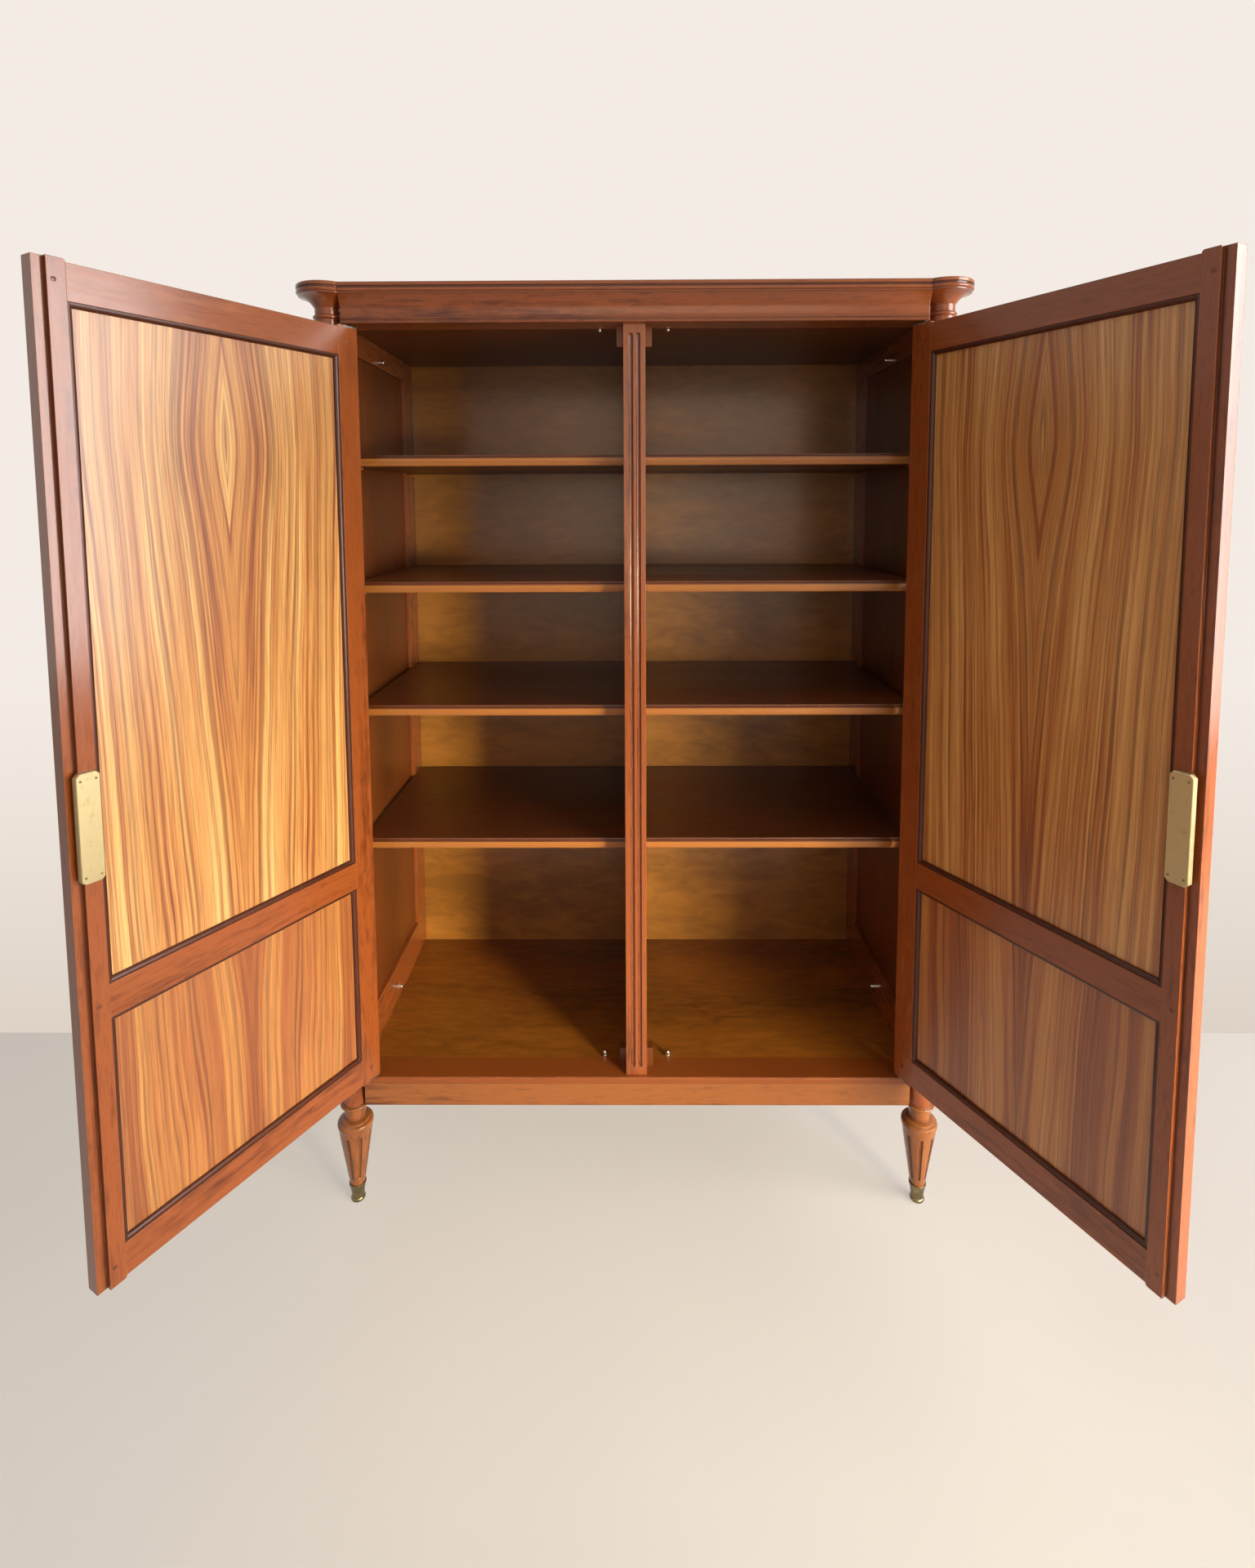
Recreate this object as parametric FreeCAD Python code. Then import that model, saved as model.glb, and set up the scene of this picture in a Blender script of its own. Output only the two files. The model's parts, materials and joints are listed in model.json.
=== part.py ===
import FreeCAD, Part
import math
import os

# Two-door wardrobe with round front columns, turned fluted legs, a moulded cornice and
# shelves on both sides of a centre partition. Millimetres, +Z up, front towards -Y.
# The origin is on the ground, on the centre line, in the plane of the closed doors' inner faces.
# The doors are modelled standing open. Everything is built for the left side and mirrored.

V = FreeCAD.Vector
UP = V(0, 0, 1)
ACROSS = V(1, 0, 0)

# Overall sizes
column_spacing = 1090.0       # between the axes of the two front columns
depth_behind_doors = 460.0    # closed doors' inner faces to the rear of the back posts
floor_height = 264.0          # top of the floor board above the ground
clear_height = 1411.0         # floor board to ceiling
cornice_height = 67.0
leg_height = 205.0            # ground to the underside of columns and back posts

# Clearances
joint_play = 0.2              # around tenons, panels in grooves and loose shafts
running_play = 0.05           # radial, pivot pin in its socket
hinge_gap = 3.5               # door edge to column
post_gap = 2.0                # door edge to centre post
door_gap_top = 6.0
door_gap_bottom = 4.0
shelf_play = 1.0              # shelf end to wall
apron_gap = 1.0               # apron above the leg collars

# Front columns
column_diameter = 44.0
column_advance = 10.0         # column front ahead of the closed doors
column_flute_radius = 4.0
column_flute_depth = 2.5
column_flute_step = 30.0      # degrees
column_flute_first = 120.0    # degrees from +X for the left column, round by the outside
column_flute_last = 330.0
column_plain_end = 75.0       # unfluted length at each end

# Side frames
side_inset = 20.0             # column axis to the frame's inner face
side_thickness = 25.0
stile_reach = 80.0            # column axis to the rear edge of its stile
back_post_width = 80.0
side_top_rail_width = 36.0
side_bottom_rail_top = 343.0
side_tenon_length = 25.0
panel_recess = 8.0            # side panel behind the frame's inner face
side_panel_thickness = 8.0
groove_depth = 7.0

# Floor, apron, top and back
floor_thickness = 15.0
floor_setback = 2.0           # floor board's front edge behind the column fronts
floor_round = 4.0             # rounding of its upper front edge
floor_reed = 3.8              # height of the reed under its front edge
floor_reed_setback = 3.0
apron_thickness = 24.0
apron_setback = 4.0           # apron behind the floor board's front edge
apron_tenon_length = 13.0
apron_tenon_thickness = 10.0
top_thickness = 18.0
soffit_drop = 7.0             # cornice underside below the ceiling
back_thickness = 10.0
back_inset = 5.0              # back panel ahead of the back posts' rear faces

# Cornice moulding
rail_back = 15.0              # rear faces of the front cornice rail and the centre post
cornice_rail_height = 25.0    # thick lower part of the front cornice rail
cornice_rail_thickness = 24.0
low_bead = 3.8
low_bead_gap = 2.8
frieze_band = 4.4
cove_height = 33.5
cove_reach = 13.0
bead_step = 2.0
under_bead = 2.4              # fillet between the cove and the bead
top_bead = 7.0
top_bead_bulge = 3.4
top_fillet = 6.2
top_fillet_round = 1.5

# Round cornice caps over the columns
cap_base_rise = 9.0           # cap base above the cornice underside
cap_ring = 8.0
cap_ring_bulge = 3.4
cap_flare = 24.5              # reach of the cap's cove beyond the column
cap_neck = 11.5               # straight neck above the ring
cap_bow = 0.1                 # hollow of the cap's cove as a share of its chord
cap_gap = 8.0                 # cap's flat sides beyond the column

# Turned legs
collar_radius = 27.0
collar_bead = 4.6
collar_fillet = 1.8
leg_neck_radius = 19.5
leg_neck_height = 25.0
shoulder_radius = 33.5
shoulder_height = 17.0
shoulder_rim = 9.5
shoulder_step_radius = 27.5
shoulder_step = 2.0
taper_top_radius = 32.2
taper_foot_radius = 14.0
leg_flutes = 8
leg_flute_turn = 10.5         # degrees from straight ahead to the nearest flute
leg_flute_radius = 3.4
leg_flute_foot_radius = 2.3
leg_flute_top_margin = 12.0
leg_flute_foot_margin = 16.0
leg_tenon_radius = 9.0
leg_tenon_length = 30.0

# Brass foot caps
sabot_height = 37.0
sabot_sole = 8.0
sabot_foot_radius = 13.6
sabot_sole_radius = 11.0
sabot_waist_radius = 11.8
sabot_waist_height = 14.0
sabot_top_radius = 16.0
sabot_lip = 3.5
sabot_lip_out = 1.0
leg_tip_radius = 9.5

# Doors
door_thickness = 30.0
left_door_open = 119.8        # degrees from closed, as it stands
right_door_open = 117.6
pivot_inset = 5.5             # pivot axis from the door's hinge edge
pivot_depth = 5.0             # pivot axis behind the door's outer face
pivot_pin_radius = 3.0
pivot_pin_length = 11.0
pivot_plate_length = 26.0
pivot_plate_thickness = 3.0
pivot_plate_margin = 1.0
hinge_stile_width = 41.0
lock_stile_face = 22.0
lip_width = 13.5
lip_thickness = 22.5
rail_width = 48.0
rail_setback = 4.0            # rails stop short of the stile ends
stile_round = 3.5             # stile corners beside the rail ends
middle_rail_share = 0.2927    # its centre above the floor board, of the clear height
door_tenon_length = 20.0
door_panel_back = 12.0        # panel's outer face behind the door's outer face
door_panel_thickness = 10.5
bead_width = 7.0
bead_height = 6.0
bead_edge = 1.5

# Locks
lock_share = 0.4706           # lock centre above the floor board, of the clear height
lock_length = 150.0
lock_width = 30.0
lock_depth = 9.0
lock_lip_gap = 6.0            # lock edge from the door's free edge
lock_corner = 5.0
lock_bevel = 1.0
bolt_width = 19.0
bolt_thickness = 4.0
bolt_length = 25.0
bolt_throw = 14.0
bolt_play = 0.3
strike_room = 2.0             # in front of the thrown bolt's end
keyhole_radius = 3.5
keyhole_slot = 4.0
keyhole_drop = 11.0

# Centre post, partition and blocks
post_width = 39.0
post_flute_radius = 4.2
post_flute_depth = 3.4
post_flute_pitch = 13.0
post_plain_end = 16.0
partition_thickness = 18.0
block_width = 12.0
block_depth = 20.0
block_height = 36.0

# Shelves and their pegs
shelf_shares = (0.3154, 0.5004, 0.6676, 0.8349)   # shelf tops above the floor, of the clear height
shelf_thickness = 20.0
shelf_setback = 18.5          # shelf front behind the closed doors
shelf_back_gap = 2.0
shelf_nose = 4.0
shelf_band = 9.0
peg_radius = 3.0
peg_length = 20.0
peg_bury = 8.0
peg_front = 45.0
peg_back_margin = 55.0        # rear pegs ahead of the back posts' rear faces

# Round-headed assembly bolts
stud_radius = 5.5
stud_flange = 3.0
stud_cap_radius = 4.4
stud_head = 12.0
stud_shank_radius = 3.0
stud_shank = 12.0
stud_from_centre = 62.0
stud_behind_doors = 24.0
side_stud_behind_doors = 202.0
side_stud_low = 31.0          # above the floor board
side_stud_high = 10.0         # above the side top rail's lower edge

# Planes and axes worked out from the sizes above
column_radius = column_diameter / 2
column_x = column_spacing / 2
door_front = -door_thickness
column_y = column_radius - column_advance - door_thickness
inner_x = column_x - side_inset
outer_x = inner_x + side_thickness
frame_x = inner_x + side_thickness / 2
ceiling_z = floor_height + clear_height
soffit_z = ceiling_z - soffit_drop
top_z = soffit_z + cornice_height
cap_base_z = soffit_z + cap_base_rise
frame_foot_z = leg_height + apron_gap
floor_under_z = floor_height - floor_thickness
stile_back = column_y + stile_reach
back_post_front = depth_behind_doors - back_post_width
back_face = depth_behind_doors - back_inset - back_thickness
back_leg_y = depth_behind_doors - shoulder_radius
floor_front = column_y - column_radius + floor_setback
between_columns = column_x - column_radius - hinge_gap
door_low = floor_height + door_gap_bottom
door_high = soffit_z - door_gap_top
door_width = between_columns - post_width / 2 - post_gap
pivot_x = between_columns - pivot_inset
pivot_y = door_front + pivot_depth
side_top_rail_low = soffit_z - side_top_rail_width
frieze_y = column_y - column_radius
frieze_x = column_x + column_radius
cap_side_x = column_x - column_radius - cap_gap
cap_side_y = column_y + column_radius + cap_gap
lock_z = floor_height + lock_share * clear_height
strike_depth = bolt_throw - lock_lip_gap - post_gap + strike_room
shelf_tops = [floor_height + share * clear_height for share in shelf_shares]
peg_rows = (peg_front, depth_behind_doors - peg_back_margin)

nodes = {}


def keep(name, *solids):
    """Files one piece, or a group of like pieces, under its name."""
    nodes[name] = solids


def mirrored(shape):
    return shape.mirror(V(0, 0, 0), ACROSS)


def keep_pair(name, *solids):
    keep(name + "_left", *solids)
    keep(name + "_right", *[mirrored(solid) for solid in solids])


def box(x0, x1, y0, y1, z0, z1):
    return Part.makeBox(x1 - x0, y1 - y0, z1 - z0, V(x0, y0, z0))


def grown(x0, x1, y0, y1, z0, z1, play=joint_play):
    """The same box with play on every side, for the hollow that takes it."""
    return box(x0 - play, x1 + play, y0 - play, y1 + play, z0 - play, z1 + play)


def cylinder(radius, length, base, direction=UP):
    return Part.makeCylinder(radius, length, base, direction)


def outline(path, place):
    """Closed wire through 2-D points. A pair of points is an arc by way of the first to the second."""
    edges = []
    start = place(*path[0])
    here = start
    for step in path[1:] + path[:1]:
        if isinstance(step[0], tuple):
            end = place(*step[1])
            edges.append(Part.Arc(here, place(*step[0]), end).toShape())
        else:
            end = place(*step)
            edges.append(Part.makeLine(here, end))
        here = end
    return Part.Wire(edges)


def run(path, place, along):
    """A moulding: the outline carried along a straight line."""
    return Part.Face(outline(path, place)).extrude(along)


def turned(path, x, y):
    """A turning: radius and height pairs spun about a vertical axis."""
    face = Part.Face(outline(path, lambda r, z: V(x + r, y, z)))
    return face.revolve(V(x, y, 0), UP, 360)


def capsule(radius, low, high):
    """A round bar with ball ends between two points, the cutter for a stopped flute."""
    line = high - low
    bar = cylinder(radius, line.Length, low, line)
    ends = [Part.makeSphere(radius, point) for point in (low, high)]
    return bar.fuse(ends).removeSplitter()


def arc_mid(a, b, bulge):
    """Point beside the middle of a chord, pushed out to its right by the bulge."""
    dx = b[0] - a[0]
    dy = b[1] - a[1]
    length = math.hypot(dx, dy)
    return ((a[0] + b[0]) / 2 + bulge * dy / length, (a[1] + b[1]) / 2 - bulge * dx / length)


def upper_moulding(out, z):
    """Fillet, bead, quirk and fillet at the top of the cornice, from the head of the cove upwards."""
    bead_low = (out + bead_step, z + under_bead)
    bead_high = (out + bead_step, z + under_bead + top_bead)
    fillet_low = top_z - top_fillet
    fillet_out = out + bead_step + top_bead_bulge
    return [
        (out + bead_step, z),
        bead_low,
        (arc_mid(bead_low, bead_high, top_bead_bulge), bead_high),
        (out + bead_step, fillet_low),
        (fillet_out, fillet_low),
        (fillet_out, top_z - top_fillet_round),
        (fillet_out - top_fillet_round, top_z),
    ]


def cornice_path(back, low):
    """Cornice section as distance out from the frieze plane and height."""
    path = [(back, low), (0.0, low)]
    z = low
    for bead in range(2):
        path.append((arc_mid((0.0, z), (0.0, z + low_bead), low_bead / 2), (0.0, z + low_bead)))
        z += low_bead + low_bead_gap
        path.append((0.0, z))
    cove_low = (0.0, z + frieze_band - low_bead_gap)
    cove_high = (cove_reach, cove_low[1] + cove_height)
    sag = math.hypot(cove_reach, cove_height) * math.tan(math.atan2(cove_reach, cove_height) / 2) / 2
    path.append(cove_low)
    path.append((arc_mid(cove_low, cove_high, -sag), cove_high))
    return path + upper_moulding(cove_reach, cove_high[1]) + [(back, top_z)]


def make_cornice():
    """Front rail worked with the cornice moulding, two side rails, two round caps and the top."""
    front = run(cornice_path(-cornice_rail_thickness, soffit_z),
                lambda out, z: V(-cap_side_x, frieze_y - out, z), ACROSS * (2 * cap_side_x))
    rail_top = soffit_z + cornice_rail_height
    socket_front = pivot_y - 2 * pivot_pin_radius
    front = front.fuse([
        box(-cap_side_x, cap_side_x, frieze_y, rail_back, soffit_z, rail_top),
        box(-between_columns, between_columns, socket_front, rail_back, soffit_z, rail_top),
        box(-inner_x, inner_x, column_y + column_radius + joint_play, rail_back, soffit_z, rail_top),
    ]).removeSplitter()
    for side in (-1, 1):
        front = front.cut(pivot_socket(side, soffit_z))
    keep("cornice_front", front)

    side_run = depth_behind_doors - cap_side_y
    side = run(cornice_path(inner_x - frieze_x, soffit_z),
               lambda out, z: V(-frieze_x - out, cap_side_y, z), V(0, side_run, 0))
    keep_pair("cornice_side", side.cut(grown(*back_panel_box())))

    ring_top = cap_base_z + cap_ring
    neck_top = ring_top + cap_neck
    cove_top = soffit_z + 2 * low_bead + low_bead_gap + frieze_band + cove_height
    cove_low = (column_radius, neck_top)
    cove_high = (column_radius + cap_flare, cove_top)
    sag = cap_bow * math.hypot(cap_flare, cove_top - neck_top)
    path = [
        (0.0, cap_base_z),
        (column_radius, cap_base_z),
        ((column_radius + cap_ring_bulge, cap_base_z + cap_ring / 2), (column_radius, ring_top)),
        cove_low,
        (arc_mid(cove_low, cove_high, -sag), cove_high),
    ]
    path += upper_moulding(column_radius + cap_flare, cove_top) + [(0.0, top_z)]
    cap = turned(path, -column_x, column_y)
    reach_out = 2 * (column_radius + cap_flare)
    cap = cap.common(box(-column_x - reach_out, -cap_side_x, column_y - reach_out, cap_side_y,
                         cap_base_z, top_z))
    keep_pair("cornice_cap", cap)

    top = box(-inner_x, inner_x, rail_back, depth_behind_doors, ceiling_z, ceiling_z + top_thickness)
    for side in (-1, 1):
        top = top.cut(stud_hole(V(side * stud_from_centre, stud_behind_doors, ceiling_z), UP))
    keep("top_panel", top)


def pivot_socket(side, face_z):
    """Blind socket for a door pin: upwards into the soffit or downwards into the floor board."""
    direction = UP if face_z == soffit_z else -UP
    base = V(side * pivot_x, pivot_y, face_z)
    return cylinder(pivot_pin_radius + running_play, pivot_pin_length + joint_play, base, direction)


def stud(point, inward):
    """Assembly bolt: flanged acorn head standing on a face, shank going inward behind it."""
    dome_low = (stud_cap_radius, stud_head - stud_cap_radius)
    dome_top = (0.0, stud_head)
    acorn = [
        (0.0, -stud_shank),
        (stud_shank_radius, -stud_shank),
        (stud_shank_radius, 0.0),
        (stud_radius, 0.0),
        (stud_radius, stud_flange),
        (stud_cap_radius, stud_flange),
        dome_low,
        (arc_mid(dome_low, dome_top, stud_cap_radius * (1 - math.sqrt(0.5))), dome_top),
    ]
    bolt = turned(acorn, 0, 0)
    bolt.Placement = FreeCAD.Placement(point, FreeCAD.Rotation(UP, -inward))
    return bolt


def stud_hole(point, inward):
    return cylinder(stud_shank_radius + joint_play, stud_shank + joint_play, point, inward)


def side_stud_points():
    """Middle of the low and high rails' inner faces on the left side frame."""
    heights = (floor_height + side_stud_low, side_top_rail_low + side_stud_high)
    return [V(-inner_x, side_stud_behind_doors, z) for z in heights]


def make_studs():
    studs = []
    for side in (-1, 1):
        place = V(side * stud_from_centre, stud_behind_doors, 0)
        studs.append(stud(place + UP * ceiling_z, UP))
        studs.append(stud(place + UP * floor_height, -UP))
    for point in side_stud_points():
        bolt = stud(point, -ACROSS)
        studs.append(bolt)
        studs.append(mirrored(bolt))
    keep("assembly_bolts", *studs)


def leg(x, y):
    """Turned leg: tip in the foot cap, fluted taper, stepped shoulder, neck, collar and round tenon."""
    collar_edge = collar_radius - collar_bead / 2
    bead_high = leg_height - collar_fillet
    collar_low = bead_high - collar_bead
    neck_low = collar_low - leg_neck_height
    shoulder_low = neck_low - shoulder_height
    rim_top = shoulder_low + shoulder_rim
    rise = (neck_low - rim_top - shoulder_step) / 2
    path = [
        (0.0, sabot_sole),
        (leg_tip_radius, sabot_sole),
        (taper_foot_radius - sabot_lip_out, sabot_height - joint_play),
        (taper_foot_radius - sabot_lip_out, sabot_height),
        (taper_foot_radius, sabot_height),
        (taper_top_radius, shoulder_low),
        ((shoulder_radius, shoulder_low + shoulder_rim / 2), (taper_top_radius, rim_top)),
        (shoulder_step_radius, rim_top + rise),
        (shoulder_step_radius, rim_top + rise + shoulder_step),
        (leg_neck_radius, neck_low),
        (leg_neck_radius, collar_low),
        (collar_edge, collar_low),
        ((collar_radius, collar_low + collar_bead / 2), (collar_edge, bead_high)),
        (collar_edge - collar_fillet / 2, bead_high),
        (collar_edge - collar_fillet / 2, leg_height),
        (leg_tenon_radius, leg_height),
        (leg_tenon_radius, leg_height + leg_tenon_length),
        (0.0, leg_height + leg_tenon_length),
    ]
    body = turned(path, x, y)
    slope = (taper_top_radius - taper_foot_radius) / (shoulder_low - sabot_height)
    high_z = shoulder_low - leg_flute_top_margin
    low_z = sabot_height + leg_flute_foot_margin
    for turn in range(leg_flutes):
        angle = math.radians(turn * 360 / leg_flutes - 90 - leg_flute_turn)
        out = V(math.cos(angle), math.sin(angle), 0)
        low = V(x, y, low_z) + out * (taper_foot_radius + slope * (low_z - sabot_height))
        high = V(x, y, high_z) + out * (taper_foot_radius + slope * (high_z - sabot_height))
        line = high - low
        cutter = Part.makeCone(leg_flute_foot_radius, leg_flute_radius, line.Length, low, line)
        body = body.cut(cutter.fuse(Part.makeSphere(leg_flute_foot_radius, low)))
    return body


def sabot(x, y):
    """Brass foot cap: ringed foot, narrow waist and a flared cup that holds the leg's tip."""
    lip_low = sabot_height - sabot_lip
    path = [
        (0.0, 0.0),
        (sabot_sole_radius, 0.0),
        ((sabot_foot_radius, sabot_sole / 2), (sabot_waist_radius, sabot_sole)),
        (sabot_waist_radius, sabot_waist_height),
        (sabot_top_radius - sabot_lip_out, lip_low),
        (sabot_top_radius, lip_low),
        (sabot_top_radius, sabot_height),
        (taper_foot_radius - sabot_lip_out + joint_play, sabot_height),
        (leg_tip_radius + joint_play, sabot_sole),
        (0.0, sabot_sole),
    ]
    return turned(path, x, y)


def leg_hole(x, y):
    return cylinder(leg_tenon_radius + joint_play, leg_tenon_length + joint_play, V(x, y, leg_height))


def make_legs():
    feet = []
    for name, x, y in (("leg_front", column_x, column_y), ("leg_back", frame_x, back_leg_y)):
        keep(name + "_left", leg(-x, y))
        keep(name + "_right", leg(x, y))
        feet += [sabot(-x, y), sabot(x, y)]
    keep("sabots", *feet)


def peg_hole(x, y, shelf_top, direction):
    """Blind hole for a shelf peg whose top carries the shelf's underside."""
    point = V(x, y, shelf_top - shelf_thickness - peg_radius)
    return cylinder(peg_radius + running_play, peg_bury + joint_play, point, direction)


def side_panel_box():
    x0 = -inner_x - panel_recess - side_panel_thickness
    return (x0, x0 + side_panel_thickness, stile_back - groove_depth, back_post_front + groove_depth,
            side_bottom_rail_top - groove_depth, side_top_rail_low + groove_depth)


def side_tenons(low, high):
    """Tenons at both ends of a side rail, in the plane of the panel."""
    x0 = -inner_x - panel_recess - side_panel_thickness
    x1 = x0 + side_panel_thickness
    shoulder = (high - low) / 5
    ends = ((stile_back - side_tenon_length, stile_back),
            (back_post_front, back_post_front + side_tenon_length))
    return [(x0, x1, y0, y1, low + shoulder, high - shoulder) for y0, y1 in ends]


def side_rails():
    return {
        "side_bottom_rail": (frame_foot_z, side_bottom_rail_top),
        "side_top_rail": (side_top_rail_low, soffit_z),
    }


def side_hollows():
    """Panel groove and rail mortises that the column's stile and the back post share."""
    hollows = [grown(*side_panel_box())]
    for low, high in side_rails().values():
        hollows += [grown(*tenon) for tenon in side_tenons(low, high)]
    return hollows


def apron_tenon():
    x1 = -between_columns
    shoulder = (floor_under_z - frame_foot_z) / 5
    return (x1 - apron_tenon_length, x1, column_y - apron_tenon_thickness / 2,
            column_y + apron_tenon_thickness / 2, frame_foot_z + shoulder, floor_under_z - shoulder)


def make_columns():
    """Round column with stopped flutes, standing in front of its own stile."""
    shaft = cylinder(column_radius, cap_base_z - leg_height, V(-column_x, column_y, leg_height))
    stile = box(-outer_x, -inner_x, column_y, stile_back, frame_foot_z, soffit_z)
    column = shaft.fuse(stile).removeSplitter()
    centre_out = column_radius + column_flute_radius - column_flute_depth
    low_z = leg_height + column_plain_end
    high_z = cap_base_z - column_plain_end
    angle = column_flute_first
    while angle <= column_flute_last:
        out = V(math.cos(math.radians(angle)), math.sin(math.radians(angle)), 0) * centre_out
        axis = V(-column_x, column_y, 0) + out
        column = column.cut(capsule(column_flute_radius, axis + UP * low_z, axis + UP * high_z))
        angle += column_flute_step
    hollows = side_hollows() + [grown(*apron_tenon()), leg_hole(-column_x, column_y)]
    hollows += [peg_hole(-inner_x, peg_front, top, -ACROSS) for top in shelf_tops]
    keep_pair("column", column.cut(hollows))


def back_panel_box():
    x1 = inner_x + groove_depth
    return (-x1, x1, back_face, back_face + back_thickness, frame_foot_z, ceiling_z)


def make_sides():
    """Back posts, side rails and side panels."""
    post = box(-outer_x, -inner_x, back_post_front, depth_behind_doors, leg_height, soffit_z)
    hollows = side_hollows() + [grown(*back_panel_box()), leg_hole(-frame_x, back_leg_y)]
    hollows += [peg_hole(-inner_x, peg_rows[1], top, -ACROSS) for top in shelf_tops]
    keep_pair("back_post", post.cut(hollows))
    groove = grown(*side_panel_box())
    studs = [stud_hole(point, -ACROSS) for point in side_stud_points()]
    for name, (low, high) in side_rails().items():
        rail = box(-outer_x, -inner_x, stile_back, back_post_front, low, high).cut(groove)
        rail = rail.fuse([box(*tenon) for tenon in side_tenons(low, high)]).removeSplitter()
        keep_pair(name, rail.cut(studs))
    keep_pair("side_panel", box(*side_panel_box()))
    keep("back_panel", box(*back_panel_box()))


def make_floor():
    """Floor board with a moulded front edge on a front apron and a back apron."""
    reed_front = floor_front + floor_reed_setback
    reed_low = (reed_front + floor_reed / 2, floor_under_z)
    reed_high = (reed_low[0], floor_under_z + floor_reed)
    round_low = (floor_front, floor_height - floor_round)
    round_high = (floor_front + floor_round, floor_height)
    nose = [
        reed_low,
        ((reed_front, floor_under_z + floor_reed / 2), reed_high),
        (floor_front, reed_high[1]),
        round_low,
        (arc_mid(round_low, round_high, -floor_round * (1 - math.sqrt(0.5))), round_high),
        (back_face, floor_height),
        (back_face, floor_under_z),
    ]
    board = run(nose, lambda y, z: V(-inner_x, y, z), ACROSS * (2 * inner_x))
    for side in (-1, 1):
        ends = sorted((side * between_columns, side * (inner_x + joint_play)))
        column_room = column_y + column_radius + joint_play
        board = board.cut(box(ends[0], ends[1], floor_front, column_room, floor_under_z, floor_height))
        board = board.cut(pivot_socket(side, floor_height))
        board = board.cut(stud_hole(V(side * stud_from_centre, stud_behind_doors, floor_height), -UP))
    keep("floor_board", board)
    apron_front = floor_front + apron_setback
    apron = box(-between_columns, between_columns, apron_front, apron_front + apron_thickness,
                frame_foot_z, floor_under_z)
    tenon = box(*apron_tenon())
    keep("apron_front", apron.fuse([tenon, mirrored(tenon)]).removeSplitter())
    keep("apron_back", box(-inner_x, inner_x, back_face - apron_thickness, back_face,
                           frame_foot_z, floor_under_z))


def make_centre():
    """Fluted centre post with strikes for both locks, the partition behind it and its four blocks."""
    half = post_width / 2
    post = box(-half, half, door_front, rail_back, floor_height, soffit_z)
    flute_y = door_front - post_flute_radius + post_flute_depth
    for side in (-1, 1):
        x = side * post_flute_pitch / 2
        low = V(x, flute_y, floor_height + post_plain_end + post_flute_radius)
        high = V(x, flute_y, soffit_z - post_plain_end - post_flute_radius)
        post = post.cut(capsule(post_flute_radius, low, high))
    strike = box(-half, -half + strike_depth, *bolt_section(bolt_play))
    keep("centre_post", post.cut([strike, mirrored(strike)]))

    half = partition_thickness / 2
    wall = box(-half, half, rail_back, back_face, floor_height, ceiling_z)
    for top in shelf_tops:
        for y in peg_rows:
            hole = peg_hole(-half, y, top, ACROSS)
            wall = wall.cut([hole, mirrored(hole)])
    keep("partition", wall)

    blocks = []
    for z in (floor_height, soffit_z - block_height):
        block = box(-post_width / 2 - block_width, -post_width / 2, rail_back - block_depth, rail_back,
                    z, z + block_height)
        blocks += [block, mirrored(block)]
    keep("post_blocks", *blocks)


def make_shelves():
    """Eight shelves with a moulded front edge, each on four pegs."""
    x0 = -inner_x + shelf_play
    x1 = -partition_thickness / 2 - shelf_play
    front = shelf_setback
    back = back_face - shelf_back_gap
    pegs = []
    for number, top in enumerate(shelf_tops, start=1):
        low = top - shelf_thickness
        nose_top = (front + shelf_nose, top)
        nose_low = (front, top - shelf_nose)
        band_low = low + (shelf_thickness - shelf_nose - shelf_band)
        heel = (front + shelf_nose, low)
        path = [
            (back, low),
            (back, top),
            nose_top,
            (arc_mid(nose_top, nose_low, -shelf_nose * (1 - math.sqrt(0.5))), nose_low),
            (front, band_low),
            (front + shelf_nose / 2, band_low),
            (arc_mid((front + shelf_nose / 2, band_low), heel, shelf_nose / 4), heel),
        ]
        keep_pair("shelf_%d" % number, run(path, lambda y, z: V(x0, y, z), ACROSS * (x1 - x0)))
        for y in peg_rows:
            z = low - peg_radius
            for start, direction in ((-inner_x - peg_bury, ACROSS),
                                     (-partition_thickness / 2 + peg_bury, -ACROSS)):
                peg = cylinder(peg_radius, peg_length, V(start, y, z), direction)
                pegs += [peg, mirrored(peg)]
    keep("shelf_pegs", *pegs)


def door_box(u0, u1, v0, v1, z0, z1):
    """Left door, closed: u from the hinge edge, v from the outer face inwards."""
    return (u0 - between_columns, u1 - between_columns, v0 + door_front, v1 + door_front, z0, z1)


def bolt_section(play):
    """Depth and height limits of the lock bolt, and of the slots that it runs in."""
    y0 = (lock_depth - bolt_thickness) / 2
    return (y0 - play, y0 + bolt_thickness + play,
            lock_z - bolt_width / 2 - play, lock_z + bolt_width / 2 + play)


def bead_frame(x0, x1, z0, z1, y, up):
    """Four mitred lengths of panel bead inside an opening, standing on the panel's face."""
    corners = [V(x0, y, z0), V(x1, y, z0), V(x1, y, z1), V(x0, y, z1)]
    centre = (corners[0] + corners[2]) * 0.5
    path = [
        (0.0, 0.0),
        (bead_width, 0.0),
        (bead_width, bead_edge),
    ]
    round_low = path[-1]
    round_high = (bead_edge, bead_height)
    path += [(arc_mid(round_low, round_high, bead_edge), round_high), (0.0, bead_height)]
    strips = []
    for index, corner in enumerate(corners):
        along = corners[(index + 1) % 4] - corner
        length = along.Length
        along = along / length
        middle = corner + along * (length / 2)
        inward = centre - middle
        inward.normalize()
        strip = run(path, lambda a, h: corner + inward * a + up * h, along * length)
        reach = inward * bead_width
        plan = [corner, corner + along * length, corner + along * (length - bead_width) + reach,
                corner + along * bead_width + reach, corner]
        mitre = Part.Face(Part.makePolygon(plan)).extrude(up * bead_height)
        strips.append(strip.common(mitre))
    return strips


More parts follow.
